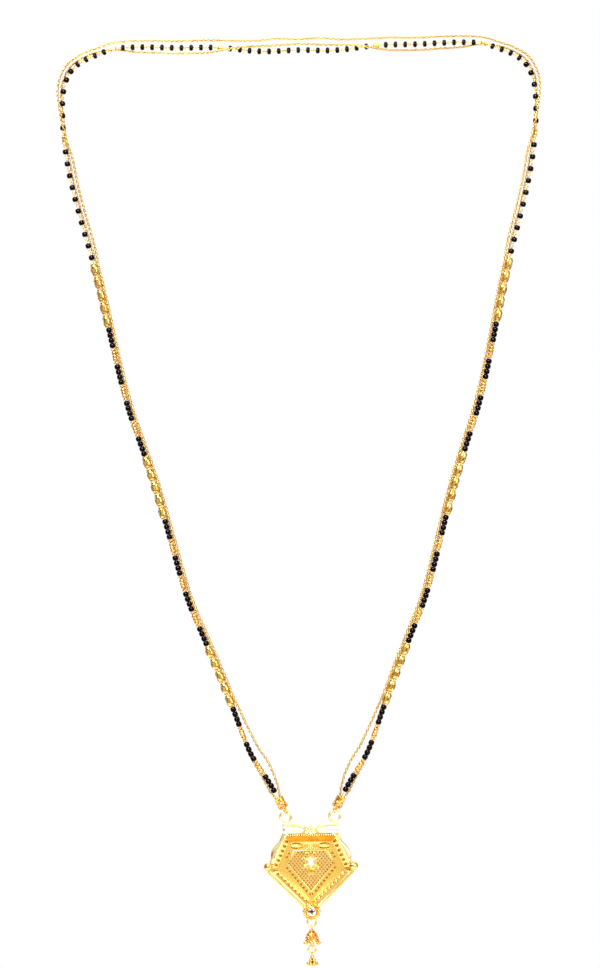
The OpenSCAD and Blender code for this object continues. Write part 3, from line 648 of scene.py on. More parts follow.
class NECKLACE_OT_finishes(bpy.types.Operator):
    """The gold and glass finishes"""
    bl_idname = "necklace.finishes"
    bl_label = "Finishes"

    def execute(self, context):
        plating_group()
        recess_shade_group()
        c = context.scene.necklace_colours
        gold, pale, white, warm, shaded, dark = (tuple(tone) for tone in (
            c.gold, c.pale_gold, c.highlight_white_gold, c.warm_shade_gold, c.shaded_gold, c.deep_shade_gold))
        # Painted dark reflection for the middle cuts of the dome.
        dark_reflection_tint = (0.07, 0.05, 0.005, 1)
        # The deep colour of each finish is painted shade, and on the dome a painted dark reflection, given on
        # marked vertices and with depth.
        FINISHES.update({
            # Painted highlight: the lobes take the near-white gold.
            "white": gold_finish("White highlight gold", white, pale, warm, wear=0.2, roughness=0.2, bump=0.05),
            # Painted highlight in the near-white base and painted dark reflections on the marked cuts.
            "dome": gold_finish("Dome highlight and reflection gold", white, pale, dark_reflection_tint, grooves=1.0, wear=0.3, roughness=0.08,
                                bump=0.05),
            "mirror": gold_finish("Mirror gold", pale, gold, warm, wear=0.9, roughness=0.14, bump=0.05),
            "ring": gold_finish("Ring gold", pale, gold, dark, wear=0.5, roughness=0.08, bump=0.1),
            "cut": gold_finish("Cut gold", gold, pale, dark, grooves=0.85, wear=0.95, roughness=0.05,
                               patch=700.0, bump=0.05),
            # Painted shade: warm shade gold mixed at random with pale gold, darker still on marked vertices.
            "cap": gold_finish("Cap gold", warm, pale, dark, wear=0.95, roughness=0.1, patch=700.0, bump=0.1),
            "chain": gold_finish("Chain gold", pale, gold, shaded, grooves=0.95, wear=0.5, patch=500.0,
                                 bump=0.1),
            # Painted shade, deeper from the slope's front towards its back.
            "band": gold_finish("Slope gold", pale, gold, warm, -1.5 * MM, 0.6 * MM, 0.7, wear=0.9),
            # Painted shade, deeper from the floor's front towards its back, in the walls of its holes.
            "floor": gold_finish("Tray gold", gold, pale, warm, 0.31 * MM, 0.6 * MM, 0.9, wear=0.15,
                                 roughness=0.2, patch=260.0, bump=0.35),
            "back": gold_finish("Back gold", gold, pale, warm, wear=0.6, roughness=0.3, patch=200.0,
                                bump=0.5),
            # Painted shade: warm gold for the top wall and the strip behind the granules.
            "wall": gold_finish("Warm shade gold", warm, dark, dark, wear=0.95, roughness=0.2, bump=0.35),
            # Painted shade: the dark wall seen through the slots of the slopes.
            "slots": gold_finish("Slot shade gold", shaded, warm, dark, wear=0.5, roughness=0.5, bump=0.35),
            # Painted shade: the dark sheets seen through the holes of the floor and the lattice.
            "bed": gold_finish("Recess gold", shaded, warm, dark, wear=0.6, roughness=0.4, patch=900.0,
                               bump=0.4),
            # Random patches of the painted highlight gold.
            "lattice": gold_finish("Lattice gold", pale, white, gold, wear=0.5, bump=0.15),
            # Painted shade: warm shade gold mixed at random with pale gold, partly deeper on marked vertices.
            "bell": gold_finish("Bell gold", warm, pale, dark, grooves=0.5, wear=0.95, roughness=0.1,
                                patch=600.0, bump=0.25),
            "glass": glass_finish("Black glass", tuple(c.black_glass), tuple(c.brown_glass)),
        })
        return {"FINISHED"}


# Shapes of the strand

def bead_shape(diameter, span):
    """Glass bead: full sides, rounded lips and a bore."""
    hole = 0.22 * diameter
    outer = [(hole + (diameter / 2 - hole) * math.cos(a) ** 0.8, span / 2 * math.sin(a))
             for a in (math.radians(d) for d in (-90, -66, -40, -14, 14, 40, 66, 90))]
    return shade(lathe(outer + [(0.8 * hole, 0), outer[0]], 14))


def sector(co, count):
    """Number of the slice, of a whole round of them, that a vertex lies in."""
    return round(math.atan2(co.y, co.x) / TAU * count)


def cut_ball_shape(s):
    """Gold ball: rows of slanted flat cuts round a full barrel, between two rolled lips."""
    half = s.ball_l / 2
    hole = 0.13 * s.ball_d
    lip, cut_end, row_pitch = 0.88, 0.75, 0.23
    # Height as a share of half the length, radius as a share of the diameter
    rows = ((1, 0.27), (0.97, 0.34), (0.9, 0.365), (0.83, 0.32), (0.69, 0.42), (0.46, 0.475), (0.23, 0.497),
            (0, 0.5))
    side = [(r * s.ball_d, -h * half) for h, r in rows]
    count = 2 * s.ball_cuts
    obj = lathe([(hole, -half)] + both_ends(side) + [(hole, half), (hole, -half)], count)

    def row(co):
        return round(abs(co.z) / half / row_pitch)

    def odd(co):
        """Whether the cut at a vertex is one of the sunk ones."""
        return (sector(co, count) + row(co) // 2) % 2

    # Painted shade: full in the neck by each lip, where the balls meet, and in part on the sunk cuts.
    def depth(co):
        share = abs(co.z) / half
        return 0.0 if share > lip else 1.0 if share > cut_end else 0.7 * odd(co)

    def cut(co):
        if abs(co.z) / half > cut_end:
            return co
        keep = 1 - 0.1 * odd(co)
        slant = Matrix.Rotation(math.pi / count * (row(co) % 2), 3, "Z") @ co
        return Vector((slant.x * keep, slant.y * keep, slant.z))

    return shade(move_points(paint_dark(obj, depth), cut), angle=10)


def spacer_shape(s):
    """Spacer: a cut barrel between two necks and two small rings."""
    half = s.spacer_l / 2
    r = s.spacer_d / 2
    # Shares of the radius and of half the length
    rows = ((0.36, -1), (0.8, -0.97), (0.95, -0.88), (0.8, -0.79), (0.5, -0.74), (0.5, -0.66), (0.84, -0.58),
            (0.98, -0.42), (0.94, -0.27), (0.62, -0.2), (0.94, -0.13))
    profile = both_ends([(a * r, b * half) for a, b in rows])
    obj = lathe(profile + [profile[0]], 12)

    def sunk(co):
        return (sector(co, 12) + (co.z > 0)) % 2

    # Painted shade: full in the cut rings and by the necks, half on the sunk flats of the barrel, faint
    # elsewhere.
    def depth(co):
        share = abs(co.z) / half
        return 1.0 if 0.18 < share < 0.22 or 0.62 < share < 0.78 else 0.5 * sunk(co) if share < 0.5 else 0.1

    def mill(co):
        keep = 1 - 0.1 * sunk(co) if abs(co.z) / half < 0.5 else 1
        return Vector((co.x * keep, co.y * keep, co.z))

    return shade(move_points(paint_dark(obj, depth), mill), angle=14)


def joiner_shape(s):
    """Gold tube: a waist between two rolled lips."""
    half, r = s.joiner_l / 2, s.joiner_d / 2
    rows = ((0.4, -1), (0.82, -1), (1, -0.9), (1, -0.78), (0.82, -0.66), (0.76, -0.5), (0.8, 0))
    profile = both_ends([(a * r, b * half) for a, b in rows])
    obj = lathe(profile + [profile[0]], 16)
    # Painted shade on the waist next to each lip.
    return shade(paint_dark(obj, lambda co: 0.9 if 0.45 < abs(co.z) / half < 0.7 else 0.0), angle=50)


def link_shape(s, tone):
    """Chain link: a small oval of round wire, its length along Z, with painted shade inside it and towards
    its ends.
    """
    straight = (s.link_l - s.link_w) / 2
    middle = (s.link_w - s.link_wire) / 2

    def dark(co):
        inside = math.hypot(co.x, max(abs(co.z) - straight, 0)) < middle - 0.1 * s.link_wire
        return 1.0 if inside else min(1, tone + 1.6 * (2 * abs(co.z) / s.link_l) ** 2)

    return paint_dark(ring(s.link_w, s.link_l, s.link_wire, around=12, wire_steps=6), dark)


class NECKLACE_OT_black_beads(bpy.types.Operator):
    """Black glass beads of the groups, of the sides and of the back"""
    bl_idname = "necklace.black_beads"
    bl_label = "Black beads"

    back_drop = 9 * MM

    def execute(self, context):
        s = context.scene.strand_sizes
        for side in SIDES:
            route = Route("wire_" + side)
            node = "black_beads_" + side
            groups = copies(bead_shape(s.bead_d, s.bead_l), route.stations(solid_centres(node), node))
            dress("glass_" + node, groups, "glass", "necklace", "black_glass", node)
            node = "back_beads_" + side
            centres = solid_centres(node)
            level = max(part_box(node)[1].z, 0) - self.back_drop
            kinds = ((s.bead_d, s.bead_l, [c for c in centres if c.z <= level]),
                     (s.flat_bead_d, s.flat_bead_l, [c for c in centres if c.z > level]))
            singles = [copies(bead_shape(d, span), route.stations(some, node)) for d, span, some in kinds]
            dress("glass_" + node, join(singles), "glass", "necklace", "black_glass", node)
        centre = solid_centres("centre_bead")[0]
        middle = copies(bead_shape(s.flat_bead_d, s.flat_bead_l), [placing(centre, (1, 0, 0))])
        dress("glass_centre_bead", middle, "glass", "necklace", "black_glass", "centre_bead")
        return {"FINISHED"}


class NECKLACE_OT_gold_beads(bpy.types.Operator):
    """Cut gold balls, spacers, joiner tubes and the plain gold beads"""
    bl_idname = "necklace.gold_beads"
    bl_label = "Gold beads"

    def execute(self, context):
        s = context.scene.strand_sizes
        for side in SIDES:
            route = Route("wire_" + side)
            for prefix, kind, shape, finish, slot_name in (
                    ("cut_", "gold_balls_", cut_ball_shape, "cut", "polished_gold"),
                    ("milled_", "spacers_", spacer_shape, "cap", "gold")):
                node = kind + side
                solids = copies(shape(s), route.stations(solid_centres(node), node))
                dress(prefix + node, solids, finish, "necklace", slot_name, node)
            node = "joiners_" + side
            first, *others = sorted(solid_centres(node), key=lambda c: abs(c.x))
            tubes = copies(joiner_shape(s), route.stations(others, node))
            bead = copies(bead_shape(s.back_ball_d, 0.9 * s.back_ball_d), route.stations([first], node))
            dress("gold_" + node, join([tubes, bead]), "ring", "necklace", "gold", node)
        return {"FINISHED"}


class NECKLACE_OT_wires(bpy.types.Operator):
    """The wire through the groups and the wire eyes that join the single beads"""
    bl_idname = "necklace.wires"
    bl_label = "Wires and eyes"

    point_pitch = 1.5 * MM
    stub_rise = 0.35 * MM
    last_gap = 0.6 * MM
    eye_turn = 0.6

    def execute(self, context):
        s = context.scene.strand_sizes
        for side in SIDES:
            route = Route("wire_" + side)
            singles = solid_centres("back_beads_" + side) + solid_centres("joiners_" + side)
            runs = sorted(route.nearest(c) for c in singles)
            last = runs[-1] + s.bead_l
            stub = s.bead_l / 2 + self.stub_rise
            lines = [(*np.arange(last, route.length, self.point_pitch), route.length)]
            lines += [(max(run - stub, 0), run, run + stub) for run in runs]
            wire = wires([([route.at(run) for run in line], False) for line in lines], s.wire_d)
            reach = s.eye_d / 2 - s.eye_wire
            places = []
            for a, b in zip([0.0] + runs, runs + [last + self.last_gap]):
                middle = (a + b) / 2
                places += [route.place(middle - reach, self.eye_turn),
                           route.place(middle + reach, self.eye_turn + math.pi / 2)]
            eye = ring(0.92 * s.eye_d, s.eye_d, s.eye_wire, around=12, wire_steps=6)
            linked = join([wire, copies(eye, places)])
            dress("linked_wire_" + side, linked, "chain", "necklace", "gold", "wire_" + side)
        return {"FINISHED"}


class NECKLACE_OT_chains(bpy.types.Operator):
    """The two fine chains, link by link"""
    bl_idname = "necklace.chains"
    bl_label = "Chains"

    first_turn = 0.3
    shade_step = 0.25

    def execute(self, context):
        s = context.scene.strand_sizes
        for side in SIDES:
            for node in ("inner_chain_" + side, "outer_chain_" + side):
                route = Route(node)
                count = int((route.length - s.link_l / 2) / s.link_pitch)
                first = self.first_turn if side == "left" else -self.first_turn
                turns = []
                for start in (0, 1):
                    turn = first + start * math.pi / 2
                    places = [route.place((k + 0.5) * s.link_pitch, turn) for k in range(start, count, 2)]
                    # Every other link, turned edge-on, is given painted shade all over.
                    turns.append(copies(link_shape(s, self.shade_step * start), places))
                dress("linked_" + node, join(turns), "chain", "necklace", "gold", node)
        return {"FINISHED"}


class NECKLACE_OT_end_caps(bpy.types.Operator):
    """The two end caps that gather the strands"""
    bl_idname = "necklace.end_caps"
    bl_label = "End caps"

    rise = 0.97 * MM
    # Degrees
    eye_turn, flap_tilt = 64, 16
    # Radius and height in millimetres, from the foot up the outside and down the inside
    cup_rows = ((0, -0.1), (0.56, -0.1), (0.6, 0.3), (0.85, 0.6), (1.25, 1.0), (1.6, 1.5), (1.72, 1.95),
                (1.64, 2.1), (1.78, 2.2), (1.84, 2.42), (1.78, 2.64), (1.66, 2.74), (1.74, 2.95), (1.8, 3.4),
                (1.8, 4.1), (1.84, 4.5), (1.94, 4.6), (1.94, 4.75), (1.84, 4.84), (1.66, 4.8), (1.56, 4.6),
                (1.5, 3.4), (1.4, 2.3), (0, 2.1))

    def execute(self, context):
        for side in SIDES:
            route = Route("wire_" + side)
            end = route.at(route.length)
            up = -route.way(route.length)
            hang_point = end + up * ((HANG_Z - end.z) / up.z)
            cap = copies(self.cap(), [placing(hang_point + up * self.rise, up)])
            node = "end_cap_" + side
            dress("set_" + node, cap, "cap", "necklace", "polished_gold", node)
        return {"FINISHED"}

    def cap(self):
        """A cap that stands on its eye at the origin."""
        cup = lathe([(r * MM, z * MM) for r, z in self.cup_rows], 28)

        # Painted shade: inside the mouth, on the lower part, in two narrow rings and faintly on a band of the
        # body.
        def dark(co):
            out, z = math.hypot(co.x, co.y) / MM, co.z / MM
            return (0.3 if out < 1.6 and z > 2 else 0.55 if z < 1.8 else
                    0.8 if abs(z - 2.1) < 0.05 or abs(z - 2.74) < 0.05 else 0.25 if 3 < z < 4.3 else 0.0)

        # Painted shade on the flaps under the cup.
        flap = paint_dark(oval(1 * MM, 1, 1.9, 1.9, 14, 10), lambda co: 0.6)
        return join([
            shade(paint_dark(cup, dark), angle=50),
            copies(flap, [at(k * 1.4 * MM, 0, 1.05 * MM) @ turned(k * self.flap_tilt, "Y") for k in (-1, 1)]),
            copies(ring(2.4 * MM, 3.0 * MM, 0.8 * MM), [at(0, 0, -0.82 * MM) @ turned(self.eye_turn, "Z")]),
            copies(ring(1.6 * MM, 1.6 * MM, 0.4 * MM, 16, 8), [at(0, 0, 0.4 * MM) @ turned(90, "X")])])


# Outlines of the pendant, in its own front plane with the boss at the origin

def unit(a, b):
    size = math.dist(a, b)
    return (b[0] - a[0]) / size, (b[1] - a[1]) / size


def inward(points, i):
    dx, dz = unit(points[i], points[(i + 1) % len(points)])
    return -dz, dx


def inset(points, by):
    """The outline whose edges all lie a distance further in."""
    moved = []
    for i, (x, z) in enumerate(points):
        n, m = inward(points, i - 1), inward(points, i)
        share = by / (1 + n[0] * m[0] + n[1] * m[1])
        moved.append((x + share * (n[0] + m[0]), z + share * (n[1] + m[1])))
    return moved


def depth_in(points, x, z):
    """Least distance of a point from the edges of an outline, positive inside."""
    return min((x - p[0]) * n[0] + (z - p[1]) * n[1]
               for p, n in ((points[i], inward(points, i)) for i in range(len(points))))


def along(points, i, pitch, keep_a, keep_b):
    """Points along edge i, spaced by the pitch and kept off both corners."""
    a, b = points[i], points[(i + 1) % len(points)]
    dx, dz = unit(a, b)
    span = math.dist(a, b) - keep_a - keep_b
    count = int(span / pitch)
    start = keep_a + (span - count * pitch) / 2
    return [(a[0] + dx * (start + k * pitch), a[1] + dz * (start + k * pitch)) for k in range(count + 1)]


def well_outline(p):
    half, top, tip = p.tray_w / 2, p.tray_top_w / 2, -p.tip_drop
    corner, well_top = tip + half, tip + p.tray_h
    return [(0, tip), (half, corner), (half, corner + p.corner_h), (top, well_top), (-top, well_top),
            (-half, corner + p.corner_h), (-half, corner)]


def horn_z(p, x):
    """Height of the tray's top edge at a distance from the middle."""
    return -p.tip_drop + p.tray_h + p.horn_rise - p.top_dip * (1 - min(1, 2 * abs(x) / p.dip_w)) ** 2


def tray_outline(p):
    well = well_outline(p)
    edge, out = p.ring_x + 0.7 * MM, p.ring_x + 1.2 * MM
    shoulder = -p.tip_drop + p.tray_h + p.horn_rise - 0.5 * MM
    steps = 16
    top = [(x, horn_z(p, x)) for x in (edge * (1 - 2 * k / steps) for k in range(steps + 1))]
    return well[:4] + [(out, shoulder)] + top + [(-out, shoulder)] + well[4:]


def lattice_outline(p):
    tip = p.lattice_rise - p.tip_drop
    half, top = p.lattice_w / 2, p.lattice_top_w / 2
    return [(0, tip), (half, tip + p.lattice_corner_h), (top, tip + p.lattice_h), (-top, tip + p.lattice_h),
            (-half, tip + p.lattice_corner_h)]


def slot_centre(p):
    """Middle of the lens-shaped slot on the right."""
    return 5.3 * MM, lattice_outline(p)[2][1] + 1.75 * MM


def lens(x, z, width, height, steps=14):
    """Lens of two arcs."""
    r = (width ** 2 + height ** 2) / (4 * height)
    reach = math.asin(width / 2 / r)
    arc = [(r * math.sin(a), r * math.cos(a) - r + height / 2)
           for a in (reach * (1 - 2 * k / steps) for k in range(steps))]
    return [(x + a, z + b) for a, b in arc] + [(x - a, z - b) for a, b in arc]


def peg_notches(p):
    """Small triangular holes outside the lattice's lower and upper sides, on the right."""
    edge = lattice_outline(p)
    size, out, pitch = 0.62 * MM, 1.15 * MM, 1.62 * MM
    notches = []
    for i, keep in ((0, 0.7 * MM), (1, 1.2 * MM)):
        nx, nz = inward(edge, i)
        for x, z in along(edge, i, pitch, keep, keep):
            notches.append([(x - nx * out + size * (nx * math.cos(a) - nz * math.sin(a)),
                             z - nz * out + size * (nz * math.cos(a) + nx * math.sin(a)))
                            for a in (0, TAU / 3, 2 * TAU / 3)])
    return notches


def crescents(p):
    """The two dark arcs round the leaf in a lens-shaped slot, on the right."""
    outer = lens(*slot_centre(p), 5.6 * MM, 2.6 * MM)
    inner = lens(*slot_centre(p), 6 * MM, 1.15 * MM)
    half = len(outer) // 2
    gap = 0.05 * MM
    return [outer[1:half] + [(a, b + gap) for a, b in reversed(inner[2:half - 1])],
            outer[half + 1:] + [(a, b - gap) for a, b in reversed(inner[half + 2:-1])]]


def slot(place, way, span, width):
    """A slot with round ends, its length along a direction."""
    turn = math.atan2(way[1], way[0])
    reach = (span - width) / 2
    points = []
    for side in (1, -1):
        for a in (math.radians(d) for d in (-90, -45, 0, 45, 90)):
            x, z = side * (reach + width / 2 * math.cos(a)), side * width / 2 * math.sin(a)
            points.append((place[0] + x * math.cos(turn) - z * math.sin(turn),
                           place[1] + x * math.sin(turn) + z * math.cos(turn)))
    return points


def star_outline(x, z, width, height, points=6):
    return [(x + width / 2 * r * math.sin(a), z + height / 2 * r * math.cos(a))
            for a, r in ((TAU * k / (2 * points), 1 if k % 2 == 0 else 0.56) for k in range(2 * points))]


class NECKLACE_OT_tray(bpy.types.Operator):
    """The tray: smooth rim, slotted band on the slopes and pierced floor"""
    bl_idname = "necklace.tray"
    bl_label = "Pendant tray"

    rim_round = 0.28 * MM
    slot_depth = 2.6 * MM
    band_thick, wall_thick, gap = 0.45 * MM, 0.1 * MM, 0.02 * MM

    def execute(self, context):
        p = context.scene.pendant_sizes
        well = well_outline(p)
        rim = pierced([tray_outline(p), inset(well, p.rim_w)], -p.front, p.back, self.rim_round)
        hang("tray_rim", shade(rim, angle=50), "mirror", "polished_gold", "pendant_frame")
        self.add_floor(well, p)
        self.add_slopes(well, p)
        return {"FINISHED"}

    def add_floor(self, well, p):
        """The pierced floor over a dark sheet that stands in for the shade in its holes, and the plain back.
        """
        inner = inset(well, p.rim_w + p.slope_w - 0.5 * MM)
        opening = lattice_outline(p)
        slit = slot((0.45 * MM, 6.4 * MM), (0.1, 1), 1.1 * MM, 0.34 * MM)
        right = [*peg_notches(p), *crescents(p), slit]
        left = [[(-x, z) for x, z in reversed(hole)] for hole in right]
        under = p.floor + 0.6 * MM
        # Name and finish, outlines, front, back and rounding of the edges
        layers = (("floor", [inner, opening, *right, *left], p.floor, under, 0.09 * MM),
                  ("bed", [inner, opening], under + 0.01 * MM, under + 0.11 * MM, 0.02 * MM),
                  ("back", [inset(well, 0.8 * MM), opening], under + 0.12 * MM, p.back - 0.02 * MM,
                   0.07 * MM))
        for name, *sheet in layers:
            hang("tray_" + name, shade(pierced(*sheet), angle=40), name)

    def add_slopes(self, well, p):
        """The slotted band on the slopes with a dark wall behind it as painted shade in the slots, and the
        plain top wall in painted shade.
        """
        start = -p.front + self.rim_round
        # Edge, pitch, distance kept off both corners, length and width of a slot, and its slant in degrees
        rows = ((0, p.slot_pitch, 5.0 * MM, 2.5 * MM, 1.1 * MM, p.slot_w, 26),
                (1, p.slot_pitch, 1.3 * MM, 1.3 * MM, 1.1 * MM, p.slot_w, 0),
                (2, 1.95 * MM, 2.0 * MM, 2.4 * MM, 1.3 * MM, 0.75 * MM, 0))
        bands, walls = [], []
        for edge, pitch, keep_a, keep_b, span, width, slant in rows:
            nx, nz = inward(well, edge)
            angle = math.atan2(nz, nx) - math.radians(slant)
            way = math.cos(angle), math.sin(angle)
            slots = [slot((x + nx * self.slot_depth, z + nz * self.slot_depth), way, span, width)
                     for x, z in along(well, edge, pitch, keep_a, keep_b)]
            bands.append(self.slope(well, edge, slots, start, self.band_thick, 0.16 * MM, p))
            # A dark wall close behind the band: painted shade seen through the slots.
            behind = start + self.band_thick + self.gap
            walls.append(self.slope(well, edge, [], behind, self.wall_thick, 0.02 * MM, p))
        for name, parts, finish in (("slope_band", bands, "band"), ("slope_wall", walls, "slots")):
            hang(name, with_twin([shade(join(parts), angle=40)]), finish)
        top = shade(self.slope(well, 3, [], start, 0.5 * MM, 0.1 * MM, p), angle=40)
        hang("slope_sheet", top, "wall")

    def slope(self, well, edge, slots, start, thick, round_by, p):
        """A sheet laid on the slope inside one edge of the tray."""
        mouth, foot = inset(well, p.rim_w - 0.1 * MM), inset(well, p.rim_w + p.slope_w + 0.1 * MM)
        nx, nz = inward(well, edge)
        fall = (p.front + p.floor - 0.2 * MM) / p.slope_w
        sheet = pierced([[mouth[edge], mouth[edge + 1], foot[edge + 1], foot[edge]], *slots],
                        start, start + thick, round_by)

        def lay(co):
            inside = (co.x - well[edge][0]) * nx + (co.z - well[edge][1]) * nz
            return co + Vector((0, fall * (inside - p.rim_w), 0))

        return move_points(sheet, lay)


class NECKLACE_OT_leaves(bpy.types.Operator):
    """The polished leaves, the floret between them, the granules and the corner balls"""
    bl_idname = "necklace.leaves"
    bl_label = "Pendant leaves"

    grain_pitch = 0.84 * MM
    # Place above the lattice, across and up in millimetres, and size of each granule of the column
    column = ((0, 0.75, 1.0), (0, 1.6, 1.15), (0, 2.5, 1.0), (-0.75, 1.15, 0.8), (0.75, 1.15, 0.8),
              (-0.8, 2.05, 0.8), (0.8, 2.05, 0.8), (-1.5, 2.9, 0.7), (1.5, 2.9, 0.7), (-1.6, 0.6, 0.7),
              (1.6, 0.6, 0.7))

    def execute(self, context):
        p = context.scene.pendant_sizes
        self.add_leaves(p)
        self.add_granules(p)
        self.add_knobs(p)
        return {"FINISHED"}

    def add_leaves(self, p):
        """The two lobes and the bands over them, and the crescent leaves at the sides."""
        front = -p.front + 0.1 * MM
        tip, foot = 2.1 * MM, -p.tip_drop + p.tray_h - 0.4 * MM

        def leaf(start, end, upper, lower, *shape):
            """A leaf between two heights that depend on the distance from the middle."""
            return crowned((start, 0), (end, 0), lambda u: upper(start + u * (end - start)),
                           lambda u: lower(start + u * (end - start)), front, *shape)

        def under_band(x):
            return horn_z(p, x) - 1.25 * MM

        def lobe_foot(x):
            return foot + (under_band(tip) - foot) * (1 - min(1, (x - tip) / (2.4 * MM))) ** 2.2

        lobe = leaf(tip, 10.3 * MM, under_band, lobe_foot, p.leaf_crown, 24, 10)
        band = leaf(2.5 * MM, 10.2 * MM, lambda x: horn_z(p, x) - 0.05 * MM,
                    lambda x: horn_z(p, x) - 1.1 * MM, 0.55 * p.leaf_crown)
        well = well_outline(p)
        low = (p.tray_w / 2 - 2.4 * MM, well[2][1] + 1.2 * MM)
        high = (p.tray_top_w / 2 - 1.9 * MM, well[3][1] - 0.6 * MM)
        crescent = crowned(high, low, lambda u: 0.9 * MM + 2.0 * MM * math.sin(math.pi * u ** 1.7) ** 0.8,
                           lambda u: 0, front, p.leaf_crown, 24, 10)
        hang("top_lobes", with_twin([lobe]), "white", "polished_gold")
        hang("plain_leaves", with_twin([band, crescent]), "lattice", "polished_gold")

    def add_granules(self, p):
        """Row of granules under the leaves, the fan between them and the column above the rosette."""
        row_z = -p.tip_drop + p.tray_h - 0.9 * MM
        strip = [(9.6 * MM * a, row_z + 0.5 * MM * b) for a, b in ((-1, -1), (1, -1), (1, 1), (-1, 1))]
        # A strip in painted shade behind the row of granules.
        bed = pierced([strip], -p.front - 0.05 * MM, -p.front + 0.15 * MM, 0.04 * MM)
        hang("granule_bed", shade(bed, angle=40), "wall")
        top = lattice_outline(p)[2][1]
        places = [at(k * self.grain_pitch, -p.front - 0.1 * MM, row_z) for k in range(-11, 12)]
        places += [at(x * MM, p.floor, top + z * MM) @ sized(size) for x, z, size in self.column]
        heart = at(0, -p.front - 0.4 * MM, row_z + 0.8 * MM) @ sized(1.25)
        fan = [heart @ turned(a, "Y") @ at(0, 0, 1.15 * MM) for a in (-84, -50, -17, 17, 50, 84)]
        buds = [heart, heart @ at(0, 0.1 * MM, 2.05 * MM) @ sized(0.7)]
        grains = join([copies(ball(0.72 * MM, 10, 7), places), copies(oval(1 * MM, 0.85, 0.8, 1.55), fan),
                       copies(ball(1.3 * MM, 14, 10), buds)])
        hang("granules_and_fan", grains, "lattice")

    def add_knobs(self, p):
        corner = well_outline(p)[2]
        middle = Vector((corner[0] - 0.3 * MM, -p.front + 0.6 * MM, corner[1]))
        # Shape, place from the middle of the ball in millimetres and turn round the Z axis
        shapes = ((ball(p.knob_d, 24, 16), (0, 0, 0), 0),
                  (ring(2.3 * MM, 2.3 * MM, 0.45 * MM, 18, 8), (-1.15, -0.1, 0.1), 70),
                  (ball(1.1 * MM), (-2.0, -0.35, 1.15), 0))
        both_sides = Matrix.Identity(4), Matrix.Scale(-1, 4, (1, 0, 0))
        knobs = []
        for shape, off, angle in shapes:
            place = at(*(middle + Vector(off) * MM)) @ turned(angle, "Z")
            knobs.append(copies(shape, [side @ place for side in both_sides]))
        hang("corner_knobs", clean(join(knobs)), "bell", "polished_gold")


class NECKLACE_OT_lattice(bpy.types.Operator):
    """The lattice with its rosette and the wire round it"""
    bl_idname = "necklace.lattice"
    bl_label = "Pendant lattice"

    # Ends of each curled leaf from the star's middle, and its width, in millimetres
    curls = ((0.35, 2.3, 3.0, 3.35, 0.75), (1.4, 0.6, 3.1, 1.35, 0.7), (1.25, -1.1, 2.85, -2.95, 0.95),
             (0.25, 2.35, 1.5, 4.0, 0.5))

    def execute(self, context):
        p = context.scene.pendant_sizes
        edge = lattice_outline(p)
        star_z = edge[0][1] + 0.715 * p.lattice_h
        front, under, back = p.floor + 0.5 * MM, p.floor + 0.8 * MM, p.floor + 1.0 * MM
        outer, hole = inset(edge, -0.3 * MM), star_outline(0, star_z, 3.3 * MM, 4.1 * MM)
        sheet = pierced([outer, hole, *self.meshes(edge, star_z, p)], front, under, 0.05 * MM)
        hang("lattice_sheet", shade(sheet, angle=30), "mirror", "gold", "pendant_lattice")
        # A dark sheet behind the lattice: painted shade seen through its holes.
        bed = pierced([outer, hole], under + 0.005 * MM, back, 0.03 * MM)
        hang("lattice_bed", shade(bed, angle=30), "bed")
        border = [([(x, y, z) for x, z in outline], True) for outline, y in (
            (inset(edge, 0.05 * MM), p.floor + 0.02 * MM),
            (star_outline(0, star_z, 3.7 * MM, 4.5 * MM), front))]
        hang("lattice_wire", wires(border, 0.42 * MM), "mirror")
        self.add_leaves(star_z, front, p)
        return {"FINISHED"}

    def meshes(self, edge, star_z, p):
        """Diamond holes in rows, kept off the edge, the star's leaves and the triangle under them."""
        mesh_h = p.mesh_w * p.lattice_corner_h / p.lattice_w
        slim = p.strip_w / (p.mesh_w * math.sin(math.atan2(mesh_h, p.mesh_w / 2)))
        w, h = p.mesh_w / 2 * (1 - slim), mesh_h * (1 - slim)
        leaves_r, triangle_h, triangle_w = 2.75 * MM, 5.0 * MM, 1.9 * MM
        found = []
        for row in range(int(p.lattice_h / mesh_h) + 2):
            for column in range(-8, 9):
                x = (column + row % 2 / 2) * p.mesh_w
                z = edge[0][1] + (row + 1.25) * mesh_h
                low = star_z - z
                in_triangle = 0 < low < triangle_h and abs(x) < triangle_w - 0.45 * (low - 2 * MM)
                if in_triangle or math.hypot(x, low) < leaves_r or depth_in(edge, x, z) < 0.62 * mesh_h:
                    continue
                found.append([(x + w, z), (x, z + h), (x - w, z), (x, z - h)])
        return found

    def add_leaves(self, star_z, front, p):
        """Curled leaves round the star, the plain triangle under it and a leaf in each lens recess."""
        def curl(bow, half):
            return lambda u: bow * math.sin(math.pi * u) + half * math.sin(math.pi * (0.12 + 0.8 * u))

        def lens_edge(rise):
            return lambda u: rise * math.sin(math.pi * u) ** 0.8

        shapes = []
        for x0, z0, x1, z1, wide in self.curls:
            ends = (x0 * MM, star_z + z0 * MM), (x1 * MM, star_z + z1 * MM)
            bow, half = 0.28 * math.dist(*ends), wide * MM / 2
            shapes.append(crowned(*ends, curl(bow, half), curl(bow, -half), front + 0.1 * MM, 0.6 * MM,
                                  12, 6, 0.3 * MM))
        x, z = slot_centre(p)
        reach, rise = 2.3 * MM, 0.5 * MM
        shapes.append(crowned((x - reach, z), (x + reach, z), lens_edge(rise), lens_edge(-rise),
                              p.floor + 0.2 * MM, 0.45 * MM, 14, 6, 0.4 * MM))
        hang("rosette_leaves", with_twin(shapes), "mirror")
        half, top, drop = 1.8 * MM, star_z - 2.35 * MM, 2.5 * MM
        wedge = crowned((-half, top), (half, top), lambda u: 0,
                        lambda u: -0.05 * MM - drop * (1 - abs(2 * u - 1)),
                        front + 0.02 * MM, 0.25 * MM, 12, 6, 0.3 * MM)
        hang("rosette_wedge", wedge, "floor")


